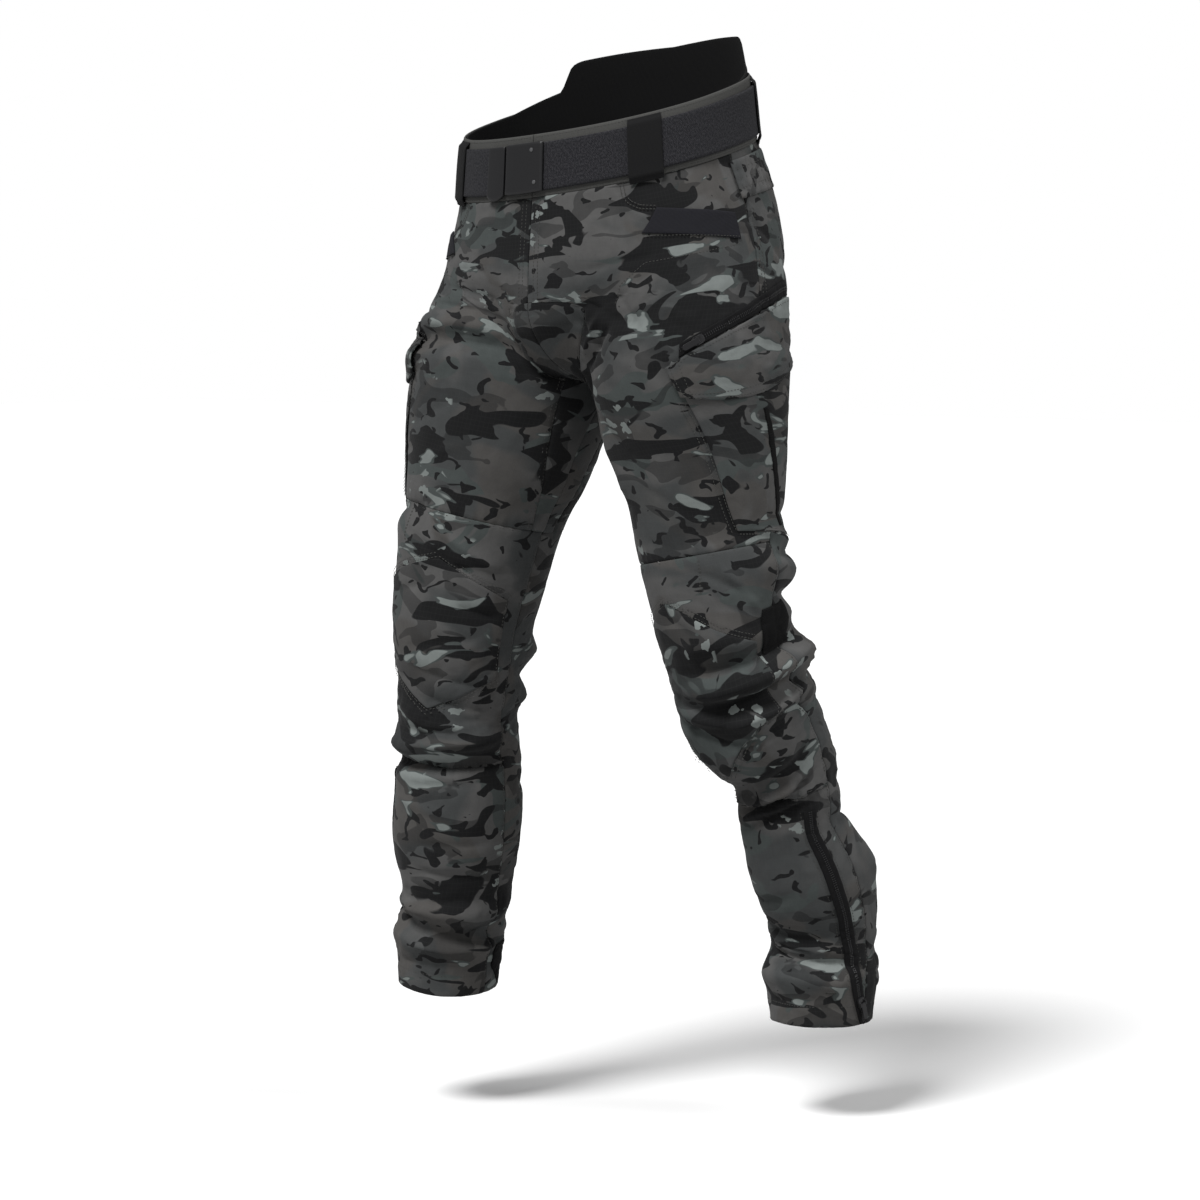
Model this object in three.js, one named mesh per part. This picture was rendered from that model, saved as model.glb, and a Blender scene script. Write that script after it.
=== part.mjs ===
// Cargo trousers with their belt, held in a walking pose as if worn, with nobody inside.
// Millimetres, +Z up, the wearer faces -Y and the wearer's left is +X.
// The origin is the middle of the waist opening, at half the height of the belt.
//
// Each leg is one cloth surface. A place on it is (u, s): s is the drop below the top of the
// waistband, and u goes round the leg from the inseam (0) over the front crease (0.25),
// the outseam (0.5) and the back crease (0.75) to the inseam again (1). Above the crotch
// u = 0 is the centre front seam and u = 1 is the centre back seam.
import * as THREE from "three";

// Cloth and seams
const WALL = 2;
const SEAM_GAP = 0.3;
const SEAT = 0.3;
const THIN = 1.4;
const COLUMNS = 24;

// Heights of the cut, as drops below the top of the waistband
const WAIST_TOP_Z = 36;
const BAND_BOTTOM = 66;
const BELT_TOP = 10;
const BELT_BOTTOM = 60;
const FORK_START = 190;
const CROTCH = 284;
const CROTCH_Y = 8;

// Hips: y is the middle, front and back are depths from it; tilt lifts the back and roll lifts
// the wearer's left side, in degrees
const HIPS = [
  { s: 0, y: -4, width: 155, front: 121, back: 131, tilt: 15.5, roll: 5 },
  { s: 66, y: -3, width: 162, front: 124, back: 137, tilt: 14, roll: 5 },
  { s: 110, y: 3, width: 175, front: 132, back: 144, tilt: 11, roll: 4.5 },
  { s: 160, y: 8, width: 185, front: 139, back: 150, tilt: 7, roll: 4 },
  { s: 210, y: 8, width: 191, front: 139, back: 152, tilt: 4, roll: 3 },
  { s: 284, y: 4, width: 197, front: 136, back: 142, tilt: 2, roll: 1 },
];

// Legs: x is outward from the middle of the body, across and deep are half widths
const LEGS = {
  right: {
    side: -1,
    kneeTop: 425,
    kneeBottom: 680,
    hem: 933,
    sections: [
      { s: 180, x: 96, y: -8, across: 100, deep: 120 },
      { s: 284, x: 104, y: -25, across: 101, deep: 111 },
      { s: 362, x: 115, y: -36, across: 95, deep: 98 },
      { s: 400, x: 123, y: -42, across: 86, deep: 89 },
      { s: 432, x: 129, y: -46, across: 80, deep: 83 },
      { s: 482, x: 140, y: -51, across: 77, deep: 80 },
      { s: 532, x: 147, y: -55, across: 71, deep: 75 },
      { s: 586, x: 154, y: -52, across: 65, deep: 69 },
      { s: 632, x: 163, y: -47, across: 60, deep: 64 },
      { s: 682, x: 168, y: -40, across: 63, deep: 67 },
      { s: 732, x: 173, y: -34, across: 65, deep: 69 },
      { s: 772, x: 181, y: -28, across: 65, deep: 69 },
      { s: 832, x: 188, y: -20, across: 55, deep: 58 },
      { s: 880, x: 201, y: -15, across: 55, deep: 58 },
      { s: 933, x: 208, y: -11, across: 51, deep: 54 },
    ],
  },
  left: {
    side: 1,
    kneeTop: 456,
    kneeBottom: 701,
    hem: 960,
    sections: [
      { s: 180, x: 96, y: 2, across: 96, deep: 120 },
      { s: 284, x: 104, y: 5, across: 95, deep: 106 },
      { s: 362, x: 115, y: 11, across: 81, deep: 86 },
      { s: 432, x: 118, y: 18, across: 74, deep: 77 },
      { s: 482, x: 126, y: 22, across: 72, deep: 75 },
      { s: 532, x: 131, y: 27, across: 65, deep: 69 },
      { s: 582, x: 138, y: 46, across: 67, deep: 71 },
      { s: 632, x: 142, y: 67, across: 67, deep: 71 },
      { s: 667, x: 151, y: 93, across: 57, deep: 61 },
      { s: 702, x: 155, y: 109, across: 52, deep: 56 },
      { s: 742, x: 153, y: 118, across: 52, deep: 55 },
      { s: 790, x: 156, y: 142, across: 59, deep: 62 },
      { s: 832, x: 156, y: 165, across: 57, deep: 60 },
      { s: 872, x: 153, y: 178, across: 55, deep: 58 },
      { s: 912, x: 151, y: 178, across: 57, deep: 60 },
      { s: 960, x: 150, y: 178, across: 52, deep: 55 },
    ],
  },
};

// Largest folds: a line on the cloth from (u0, s0) to (u1, s1), wide from its middle to its
// foot, high outward. A negative height is a crease.
const FOLDS = [
  { leg: "right", u0: 0.13, s0: 252, u1: 0.4, s1: 256, wide: 13, high: -7 },
  { leg: "right", u0: 0.13, s0: 234, u1: 0.4, s1: 236, wide: 16, high: 4 },
  { leg: "right", u0: 0.14, s0: 274, u1: 0.4, s1: 278, wide: 18, high: 3 },
  { leg: "right", u0: 0.2, s0: 462, u1: 0.42, s1: 450, wide: 22, high: 4 },
  { leg: "right", u0: 0.02, s0: 640, u1: 0.34, s1: 622, wide: 16, high: 4 },
  { leg: "right", u0: 0.0, s0: 652, u1: 0.42, s1: 664, wide: 14, high: 7 },
  { leg: "right", u0: -0.02, s0: 668, u1: 0.42, s1: 682, wide: 12, high: -8 },
  { leg: "right", u0: 0.55, s0: 560, u1: 0.95, s1: 566, wide: 16, high: 7 },
  { leg: "right", u0: 0.55, s0: 590, u1: 0.95, s1: 588, wide: 14, high: -7 },
  { leg: "right", u0: 0.55, s0: 616, u1: 0.95, s1: 612, wide: 16, high: 6 },
  { leg: "right", u0: -0.08, s0: 838, u1: 0.4, s1: 842, wide: 16, high: 5 },
  { leg: "right", u0: -0.08, s0: 852, u1: 0.42, s1: 862, wide: 13, high: -8 },
  { leg: "right", u0: -0.06, s0: 872, u1: 0.44, s1: 880, wide: 15, high: 5 },
  { leg: "right", u0: 0.5, s0: 860, u1: 0.88, s1: 852, wide: 16, high: -5 },
  { leg: "left", u0: 0.1, s0: 300, u1: 0.16, s1: 400, wide: 20, high: 5 },
  { leg: "left", u0: 0.44, s0: 476, u1: 0.64, s1: 486, wide: 20, high: 6 },
  { leg: "left", u0: 0.5, s0: 506, u1: 0.78, s1: 512, wide: 13, high: -6 },
  { leg: "left", u0: 0.52, s0: 536, u1: 0.8, s1: 536, wide: 16, high: 3 },
  { leg: "left", u0: 0.24, s0: 530, u1: 0.42, s1: 540, wide: 16, high: 5 },
  { leg: "left", u0: 0.22, s0: 552, u1: 0.6, s1: 558, wide: 13, high: -6 },
  { leg: "left", u0: 0.2, s0: 570, u1: 0.66, s1: 578, wide: 14, high: 8 },
  { leg: "left", u0: 0.2, s0: 590, u1: 0.7, s1: 600, wide: 13, high: -8 },
  { leg: "left", u0: 0.12, s0: 684, u1: 0.5, s1: 660, wide: 12, high: -6 },
  { leg: "left", u0: 0.12, s0: 704, u1: 0.44, s1: 682, wide: 12, high: 5 },
  { leg: "left", u0: 0.12, s0: 722, u1: 0.4, s1: 700, wide: 11, high: -5 },
  { leg: "left", u0: 0.52, s0: 800, u1: 0.86, s1: 832, wide: 26, high: 6 },
  { leg: "left", u0: 0.12, s0: 846, u1: 0.42, s1: 846, wide: 15, high: -5 },
  { leg: "left", u0: 0.1, s0: 884, u1: 0.46, s1: 892, wide: 13, high: -7 },
  { leg: "left", u0: 0.08, s0: 910, u1: 0.44, s1: 908, wide: 18, high: 6 },
  { leg: "left", u0: 0.54, s0: 880, u1: 0.9, s1: 872, wide: 15, high: -5 },
];

const radians = THREE.MathUtils.degToRad;
const clamp = THREE.MathUtils.clamp;
const lerp = THREE.MathUtils.lerp;

// A table's column at s, on a smooth curve through its rows.
function along(table, column, s) {
  let i = 0;
  while (i < table.length - 2 && s > table[i + 1].s) i += 1;
  const [a, b] = [table[i], table[i + 1]];
  const slope = (p, q) => (q[column] - p[column]) / (q.s - p.s);
  const into = i > 0 ? slope(table[i - 1], b) : slope(a, b);
  const out = i < table.length - 2 ? slope(a, table[i + 2]) : slope(a, b);
  const span = b.s - a.s;
  const t = (s - a.s) / span;
  if (t < 0) return a[column] + into * (s - a.s);
  const t2 = t * t;
  const t3 = t2 * t;
  return (
    a[column] * (2 * t3 - 3 * t2 + 1) +
    b[column] * (3 * t2 - 2 * t3) +
    into * span * (t3 - 2 * t2 + t) +
    out * span * (t3 - t2)
  );
}

// How far out a rounded rectangle of that squareness reaches, against a circle.
function squared(angle, power) {
  const reach = Math.abs(Math.sin(angle)) ** power + Math.abs(Math.cos(angle)) ** power;
  return reach ** (-1 / power);
}

// Half of the hips' ring, from the centre front to the centre back.
function hipPoint(side, u, s) {
  const angle = Math.PI * u;
  const out = squared(angle, 2.25);
  const depth = u < 0.5 ? along(HIPS, "front", s) : along(HIPS, "back", s);
  const x = along(HIPS, "width", s) * out * Math.sin(angle);
  const y = -depth * out * Math.cos(angle);
  const tilt = radians(along(HIPS, "tilt", s));
  const roll = radians(along(HIPS, "roll", s));
  return new THREE.Vector3(
    side * x * Math.cos(roll),
    along(HIPS, "y", s) + y * Math.cos(tilt),
    WAIST_TOP_Z - s + y * Math.sin(tilt) + side * x * Math.sin(roll),
  );
}

function legMiddle(leg, s) {
  const { side, sections } = leg;
  return new THREE.Vector3(
    side * along(sections, "x", s),
    along(sections, "y", s),
    WAIST_TOP_Z - s,
  );
}

// The whole ring of a leg, square to the way the leg runs.
function legPoint(leg, u, s) {
  const step = 14;
  const down = legMiddle(leg, s + step).sub(legMiddle(leg, s - step)).normalize();
  const back = new THREE.Vector3(0, 1, 0);
  back.addScaledVector(down, -back.dot(down)).normalize();
  const leftward = back.clone().cross(down.clone().negate());
  const angle = 2 * Math.PI * u;
  const out = squared(angle, 2.12);
  const across = -along(leg.sections, "across", s) * out * Math.cos(angle);
  const deep = -along(leg.sections, "deep", s) * out * Math.sin(angle);
  return legMiddle(leg, s)
    .addScaledVector(leftward, leg.side * across)
    .addScaledVector(back, deep);
}

// Both legs start at one crotch point, and the pull towards it fades down the thigh.
function pullToCrotch(leg, point, u, s) {
  const fromSeam = Math.min(u, 1 - u) / 0.11;
  const fade = s <= CROTCH ? 1 : clamp(1 - (s - CROTCH) / 85, 0, 1) ** 2;
  const share = Math.exp(-fromSeam * fromSeam) * fade;
  if (share < 1e-3) return point;
  const inner = legPoint(leg, 0, s);
  const seam = new THREE.Vector3(
    s <= CROTCH ? 0 : inner.x * (1 - fade),
    CROTCH_Y,
    WAIST_TOP_Z - s,
  );
  return point.add(seam.sub(inner).multiplyScalar(share));
}

// The cloth without its folds.
function smoothPoint(leg, u, s) {
  if (s <= FORK_START - 70) return hipPoint(leg.side, u, s);
  const ring = pullToCrotch(leg, legPoint(leg, u, s), u, s);
  if (s >= CROTCH) return ring;
  const fork = clamp((s - FORK_START) / (CROTCH - FORK_START), 0, 1);
  const flank = clamp((s - FORK_START + 70) / (CROTCH - FORK_START + 70), 0, 1);
  const fromSeam = Math.min(u, 1 - u) / 0.13;
  const nearSeam = Math.exp(-fromSeam * fromSeam);
  const share =
    nearSeam * (1 - Math.sqrt(1 - fork * fork)) +
    (1 - nearSeam) * flank * flank * (3 - 2 * flank);
  return hipPoint(leg.side, u, s).lerp(ring, share);
}

// How far the folds lift the cloth at (u, s).
function foldHeight(legName, u, s) {
  const girth = 480;
  let height = 0;
  for (const fold of FOLDS) {
    if (fold.leg !== legName) continue;
    for (const turn of [-1, 0, 1]) {
      const runX = (fold.u1 - fold.u0) * girth;
      const runY = fold.s1 - fold.s0;
      const x = (u + turn - fold.u0) * girth;
      const y = s - fold.s0;
      const t = (x * runX + y * runY) / (runX * runX + runY * runY);
      if (t < -0.2 || t > 1.2) continue;
      const held = clamp(t, 0, 1);
      const off = Math.hypot(x - held * runX, y - held * runY) / fold.wide;
      const fade = Math.min(1, 4 * (held + 0.05), 4 * (1.05 - held));
      height += fold.high * fade * Math.exp(-off * off * 1.6);
    }
  }
  return height;
}

// The drops of the cloth's rows, closer together at the fork and along the folds.
function rowsOf(leg) {
  const rows = [0, 33, BAND_BOTTOM, 84, 102, 120, 138, 155, 172, FORK_START];
  const forkSteps = 4;
  for (let i = 1; i <= forkSteps; i += 1) {
    const turn = (i / forkSteps) * (Math.PI / 2);
    rows.push(FORK_START + (CROTCH - FORK_START) * Math.sin(turn));
  }
  const evenly = (from, to, count) => {
    for (let i = 1; i <= count; i += 1) rows.push(lerp(from, to, i / count));
  };
  evenly(CROTCH, leg.kneeTop, 6);
  evenly(leg.kneeTop, leg.kneeBottom, 12);
  evenly(leg.kneeBottom, leg.hem, 11);
  return rows;
}

// How far round a leg the crotch gusset reaches from the inseam. The walking pose pulls it
// over to the trailing leg.
const GUSSET = [
  { s: 110, left: 0.042, right: 0.042 },
  { s: 190, left: 0.12, right: 0.04 },
  { s: 284, left: 0.07, right: 0.075 },
  { s: 420, left: 0.034, right: 0.034 },
];

function gussetReach(legName, s) {
  return along(GUSSET, legName, clamp(s, GUSSET[0].s, GUSSET[3].s));
}

function columnU(legName, k, s) {
  const half = COLUMNS / 2;
  if (k > half) return 1 - columnU(legName, COLUMNS - k, s);
  if (k === 0) return 0;
  return lerp(gussetReach(legName, s), 0.5, (k - 1) / (half - 1));
}

// The net of points that every piece of a leg is made from, with its outward directions.
function makeNet(legName) {
  const leg = LEGS[legName];
  const rows = rowsOf(leg);
  const crotchRow = rows.indexOf(CROTCH);
  const us = rows.map((s) =>
    Array.from({ length: COLUMNS + 1 }, (_, k) => columnU(legName, k, s)),
  );
  let points = rows.map((s, i) => us[i].map((u) => smoothPoint(leg, u, s)));
  const outward = directions(points, leg.side, crotchRow);
  const keepClear = 0.2;
  points = points.map((row, i) =>
    row.map((point, k) => {
      const onSeam = i <= crotchRow && (k === 0 || k === COLUMNS);
      const fade = clamp((rows[i] - BAND_BOTTOM) / 60, 0, 1);
      const lift = foldHeight(legName, us[i][k], rows[i]) * fade;
      const moved = point.clone().addScaledVector(outward[i][k], lift);
      moved.x = onSeam ? 0 : leg.side * Math.max(leg.side * moved.x, keepClear);
      return moved;
    }),
  );
  return { legName, leg, rows, us, points, outward: directions(points, leg.side, crotchRow), crotchRow };
}

// Outward direction at each point of a net, from the faces round it.
function directions(points, side, crotchRow) {
  const last = COLUMNS;
  return points.map((row, i) =>
    row.map((point, k) => {
      const closed = i > crotchRow;
      const wrap = (n) => (closed ? (n + last) % last : clamp(n, 0, last));
      const before = row[k === 0 && closed ? last - 1 : wrap(k - 1)];
      const after = row[k === last && closed ? 1 : Math.min(k + 1, last)];
      const above = points[Math.max(i - 1, 0)][k];
      const below = points[Math.min(i + 1, points.length - 1)][k];
      const round = after.clone().sub(before);
      const down = below.clone().sub(above);
      const out = down.cross(round).multiplyScalar(side);
      if (!closed && (k === 0 || k === last)) out.x = 0;
      return out.normalize();
    }),
  );
}

const nets = { left: makeNet("left"), right: makeNet("right") };

// A point over the cloth of a leg, that far above its outer face.
function above(net, u, s, height) {
  const { rows, us, points, outward } = net;
  let i = 0;
  while (i < rows.length - 2 && s > rows[i + 1]) i += 1;
  const down = clamp((s - rows[i]) / (rows[i + 1] - rows[i]), -1.7, 1);
  const inRow = (r) => {
    const turned = u < us[r][0] ? u + 1 : u;
    let k = 0;
    while (k < us[r].length - 2 && turned > us[r][k + 1]) k += 1;
    const t = (turned - us[r][k]) / (us[r][k + 1] - us[r][k]);
    return [
      points[r][k].clone().lerp(points[r][k + 1], t),
      outward[r][k].clone().lerp(outward[r][k + 1], t),
    ];
  };
  const [p0, n0] = inRow(i);
  const [p1, n1] = inRow(i + 1);
  return p0.lerp(p1, down).addScaledVector(n0.lerp(n1, down).normalize(), height);
}

// A closed mesh from corner points and faces of three or four corners facing out.
function solid(points, faces) {
  const index = [];
  for (const face of faces) {
    index.push(face[0], face[1], face[2]);
    if (face.length === 4) index.push(face[0], face[2], face[3]);
  }
  const geometry = new THREE.BufferGeometry();
  geometry.setAttribute(
    "position",
    new THREE.Float32BufferAttribute(points.flatMap((p) => [p.x, p.y, p.z]), 3),
  );
  geometry.setIndex(index);
  return geometry;
}

// A wall over some cells of one or both nets. Each cell is { net, i, k }, between rows i and
// i + 1 and columns k and k + 1. Its free edges draw back by half of the seam's gap.
function wall(cells, { top = 0, thick = WALL } = {}) {
  const corners = new Map();
  const edges = new Map();
  const quads = [];
  const nameOf = (net, i, k) => {
    const onSeam = k === 0 || k === COLUMNS;
    if (onSeam && i > net.crotchRow) return `${net.legName}:${i}:0`;
    const shared = onSeam && cells.some((c) => c.net !== net);
    return `${shared ? "both" : net.legName}:${i}:${k}`;
  };
  const corner = (net, i, k) => {
    const name = nameOf(net, i, k);
    if (!corners.has(name)) {
      corners.set(name, {
        at: net.points[i][k],
        out: net.outward[i][k],
        inward: new THREE.Vector3(),
        number: corners.size,
      });
    }
    return name;
  };
  for (const { net, i, k } of cells) {
    const quad = [
      corner(net, i, k),
      corner(net, i + 1, k),
      corner(net, i + 1, k + 1),
      corner(net, i, k + 1),
    ];
    if (net.leg.side < 0) quad.reverse();
    quads.push(quad);
    const middle = quad
      .reduce((sum, name) => sum.add(corners.get(name).at), new THREE.Vector3())
      .multiplyScalar(0.25);
    quad.forEach((name, n) => {
      const next = quad[(n + 1) % 4];
      const key = [name, next].sort().join("|");
      edges.set(key, [...(edges.get(key) ?? []), [name, next, middle]]);
    });
  }
  const rim = [...edges.values()].filter((uses) => uses.length === 1).map((u) => u[0]);
  for (const [a, b, middle] of rim) {
    const [p, q] = [corners.get(a), corners.get(b)];
    const run = q.at.clone().sub(p.at).normalize();
    const into = middle.clone().sub(p.at);
    into.addScaledVector(run, -into.dot(run)).normalize();
    for (const c of [p, q]) if (c.inward.dot(into) < 0.9) c.inward.add(into);
  }
  const list = [...corners.values()];
  const shift = SEAM_GAP / 2 + 0.1;
  const layer = (height) =>
    list.map((c) =>
      c.at.clone().addScaledVector(c.inward, shift).addScaledVector(c.out, height),
    );
  const points = [...layer(top), ...layer(top - thick)];
  const number = (name) => corners.get(name).number;
  const under = list.length;
  const faces = [];
  for (const quad of quads) {
    const [a, b, c, d] = quad.map(number);
    faces.push([a, b, c, d], [d + under, c + under, b + under, a + under]);
  }
  for (const [a, b] of rim) {
    const [p, q] = [number(a), number(b)];
    faces.push([q, p, p + under, q + under]);
  }
  return solid(points, faces);
}

function cellsOf(net, fromRow, toRow, fromColumn, toColumn, keep = () => true) {
  const cells = [];
  for (let i = fromRow; i < toRow; i += 1) {
    for (let k = fromColumn; k < toColumn; k += 1) {
      if (keep(i, k)) cells.push({ net, i, k });
    }
  }
  return cells;
}

// The net of the waist, whose u is a turn: it goes round from the centre front over the
// wearer's left side, and a few columns come before 0 so that pieces can cross it.
function makeWaistNet() {
  const before = 8;
  const numbers = Array.from({ length: before + 2 * COLUMNS + 1 }, (_, n) => n - before);
  const pick = (part, i, n) => {
    const m = n < 0 ? n + 2 * COLUMNS : n;
    return m <= COLUMNS ? nets.left[part][i][m] : nets.right[part][i][2 * COLUMNS - m];
  };
  const turnOf = (i, n) => {
    if (n < 0) return -pick("us", i, n) / 2;
    return n <= COLUMNS ? pick("us", i, n) / 2 : 1 - pick("us", i, n) / 2;
  };
  const picked = [0, 1, 2, 3];
  return {
    leg: { side: 1 },
    rows: nets.left.rows.slice(0, picked.length),
    us: picked.map((i) => numbers.map((n) => turnOf(i, n))),
    points: picked.map((i) => numbers.map((n) => pick("points", i, n))),
    outward: picked.map((i) => numbers.map((n) => pick("outward", i, n))),
  };
}

const waist = makeWaistNet();

// Where (u, s) lies on a net, as a column number x and a row number y with their fractions.
function onNet(net, u, s) {
  const { rows, us } = net;
  let i = 0;
  while (i < rows.length - 2 && s > rows[i + 1]) i += 1;
  const down = (s - rows[i]) / (rows[i + 1] - rows[i]);
  const at = (k) => lerp(us[i][k], us[i + 1][k], down);
  let k = 0;
  while (k < us[i].length - 2 && u > at(k + 1)) k += 1;
  return { x: k + (u - at(k)) / (at(k + 1) - at(k)), y: i + down };
}

// The part of a polygon that lies on the inner side of the line from p to q.
function cut(polygon, p, q) {
  const side = (c) => (q.x - p.x) * (c.y - p.y) - (q.y - p.y) * (c.x - p.x);
  const kept = [];
  polygon.forEach((c, n) => {
    const next = polygon[(n + 1) % polygon.length];
    const [a, b] = [side(c), side(next)];
    if (a >= 0) kept.push(c);
    if (a * b < 0) {
      const t = a / (a - b);
      kept.push({ x: lerp(c.x, next.x, t), y: lerp(c.y, next.y, t) });
    }
  });
  return kept;
}

// A layer on the cloth, made of convex pieces whose corners are [u, s]. It bends only where
// the cloth's own facets bend, so it stands off them by lift(u, s) all over.
function layer(net, pieces, { lift = () => SEAT, thick = () => THIN } = {}) {
  const flip = net.leg.side < 0;
  const numbers = new Map();
  const low = [];
  const high = [];
  const number = (c, cell) => {
    const key = `${c.x.toFixed(4)},${c.y.toFixed(4)}`;
    if (!numbers.has(key)) {
      numbers.set(key, low.length);
      const share = weights(c, cell);
      const mix = (of) => cell.reduce((sum, v, n) => sum + share[n] * of(v), 0);
      const blend = (part) =>
        cell.reduce(
          (sum, v, n) => sum.addScaledVector(net[part][v.y][v.x], share[n]),
          new THREE.Vector3(),
        );
      const u = mix((v) => net.us[v.y][v.x]);
      const s = mix((v) => net.rows[v.y]);
      const [at, out] = [blend("points"), blend("outward")];
      low.push(at.clone().addScaledVector(out, lift(u, s)));
      high.push(at.addScaledVector(out, lift(u, s) + thick(u, s)));
    }
    return numbers.get(key);
  };
  const tops = [];
  for (const piece of pieces) {
    const shape = piece.map(([u, s]) => onNet(net, u, s));
    const xs = shape.map((c) => c.x);
    const ys = shape.map((c) => c.y);
    for (let i = Math.floor(Math.min(...ys)); i < Math.max(...ys); i += 1) {
      for (let k = Math.floor(Math.min(...xs)); k < Math.max(...xs); k += 1) {
        for (const cell of halves(k, i, flip)) {
          let part = shape;
          for (let n = 0; n < 3; n += 1) part = cut(part, cell[n], cell[(n + 1) % 3]);
          const face = [];
          for (const c of part) {
            const n = number(c, cell);
            if (!face.includes(n)) face.push(n);
          }
          if (face.length < 3) continue;
          tops.push((turning(part) > 0) === flip ? face : face.reverse());
        }
      }
    }
  }
  const under = low.length;
  const faces = [];
  const uses = new Map();
  for (const face of tops) {
    for (let n = 1; n < face.length - 1; n += 1) {
      faces.push([face[0], face[n], face[n + 1]]);
      faces.push([face[n + 1] + under, face[n] + under, face[0] + under]);
    }
    face.forEach((a, n) => {
      const b = face[(n + 1) % face.length];
      const key = a < b ? `${a}|${b}` : `${b}|${a}`;
      uses.set(key, [...(uses.get(key) ?? []), [a, b]]);
    });
  }
  for (const [first, ...others] of uses.values()) {
    const [a, b] = first;
    if (!others.length) faces.push([b, a, a + under, b + under]);
  }
  return solid([...high, ...low], faces);
}

// The two triangles of a net's cell, split the way its wall is split.
function halves(k, i, flip) {
  const [a, b] = [{ x: k, y: i }, { x: k, y: i + 1 }];
  const [c, d] = [{ x: k + 1, y: i + 1 }, { x: k + 1, y: i }];
  return flip ? [[a, d, b], [d, c, b]] : [[a, d, c], [a, c, b]];
}

function turning(polygon) {
  return polygon.reduce((sum, p, n) => {
    const q = polygon[(n + 1) % polygon.length];
    return sum + p.x * q.y - q.x * p.y;
  }, 0);
}

// The shares of a triangle's corners in a point.
function weights(c, [p, q, r]) {
  const whole = turning([p, q, r]);
  return [turning([c, q, r]) / whole, turning([p, c, r]) / whole, turning([p, q, c]) / whole];
}

// Even steps from 0 to 1.
function steps(count) {
  return Array.from({ length: count + 1 }, (_, i) => i / count);
}

// Pieces of a band between two edges, top(a) and bottom(a), that each give [u, s].
function band(top, bottom, stops) {
  return stops.slice(1).map((b, n) => {
    const a = stops[n];
    return [top(a), bottom(a), bottom(b), top(b)];
  });
}

function line([u0, s0], [u1, s1]) {
  return (a) => [lerp(u0, u1, a), lerp(s0, s1, a)];
}

// A closed hoop round the waist, from top(turn) down to bottom. It bends at the net's columns.
function hoop({ top, bottom, rows, height, thick }) {
  const count = 2 * COLUMNS;
  const points = [];
  const turns = Array.from({ length: count }, (_, i) =>
    i <= COLUMNS ? nets.left.us[0][i] / 2 : 1 - nets.right.us[0][count - i] / 2,
  );
  for (const level of [height + thick, height]) {
    for (let j = 0; j <= rows; j += 1) {
      for (const turn of turns) {
        points.push(above(waist, turn, lerp(top(turn), bottom, j / rows), level));
      }
    }
  }
  const under = count * (rows + 1);
  const faces = [];
  for (let i = 0; i < count; i += 1) {
    const next = (i + 1) % count;
    for (let j = 0; j < rows; j += 1) {
      const [n, m] = [j * count + i, j * count + next];
      faces.push([n, n + count, m + count, m]);
      faces.push([m + under, m + count + under, n + count + under, n + under]);
    }
    const last = rows * count;
    faces.push([i, next, next + under, i + under]);
    faces.push([last + next, last + i, last + i + under, last + next + under]);
  }
  return solid(points, faces);
}

const paint = {
  camouflage: { color: 0x484a48, roughness: 0.92, metalness: 0 },
  black: { color: 0x17181a, roughness: 0.9, metalness: 0 },
  webbing: { color: 0x2f3033, roughness: 0.95, metalness: 0 },
  zip: { color: 0x131315, roughness: 0.7, metalness: 0 },
  hardware: { color: 0x1b1b1d, roughness: 0.45, metalness: 0.3 },
};

const trousers = new THREE.Group();

function add(name, geometry, finish) {
  const mesh = new THREE.Mesh(geometry, new THREE.MeshStandardMaterial(paint[finish]));
  mesh.name = name;
  trousers.add(mesh);
  return mesh;
}

// The cut of one leg. The front is cut away above the hip pocket's mouth, where the
// pocket's facing shows behind it.
function addPanels(net) {
  const { legName, leg, rows } = net;
  const row = (s) => rows.findIndex((r) => Math.abs(r - s) < 1e-6);
  const outseam = COLUMNS / 2;
  const band = row(BAND_BOTTOM);
  const gusset = row(FORK_START);
  const kneeTop = row(leg.kneeTop);
  const kneeBottom = row(leg.kneeBottom);
  const hem = row(leg.hem);
  const inGusset = (i, k) => i >= gusset && i < kneeTop && (k === 0 || k === COLUMNS - 1);
  const mouth = (i, k) => i >= band && i < row(120) && k >= (i < row(102) ? 5 : 6);
  const panels = {
    front_thigh: cellsOf(
      net, band, kneeTop, 0, outseam, (i, k) => !inGusset(i, k) && !mouth(i, k),
    ),
    front_knee: cellsOf(net, kneeTop, kneeBottom, 0, outseam),
    front_shin: cellsOf(net, kneeBottom, hem, 0, outseam),
    back: cellsOf(net, band, hem, outseam, COLUMNS, (i, k) => !inGusset(i, k)),
  };
  for (const [name, cells] of Object.entries(panels)) {
    add(`${name}_${legName}`, wall(cells), "camouflage");
  }
  add(`waistband_${legName}`, wall(cellsOf(net, 0, band, 0, COLUMNS)), "camouflage");
  const facing = cellsOf(net, band, row(138), 4, outseam);
  const behind = { top: -WALL - SEAM_GAP, thick: THIN };
  add(`hip_pocket_facing_${legName}`, wall(facing, behind), "camouflage");
}

function addGusset() {
  const cells = Object.values(nets).flatMap((net) => {
    const first = net.rows.findIndex((r) => Math.abs(r - FORK_START) < 1e-6);
    const last = net.rows.findIndex((r) => Math.abs(r - net.leg.kneeTop) < 1e-6);
    return [
      ...cellsOf(net, first, last, 0, 1),
      ...cellsOf(net, first, last, COLUMNS - 1, COLUMNS),
    ];
  });
  add("crotch_gusset", wall(cells), "camouflage");
}

// The black facing inside the waist, which stands up behind as a raised back panel.
const BACK_PANEL = [
  { turn: 0.31, rise: 0 },
  { turn: 0.335, rise: 6 },
  { turn: 0.358, rise: 9 },
  { turn: 0.372, rise: 31 },
  { turn: 0.385, rise: 35 },
  { turn: 0.43, rise: 34 },
  { turn: 0.5, rise: 31 },
];

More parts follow.
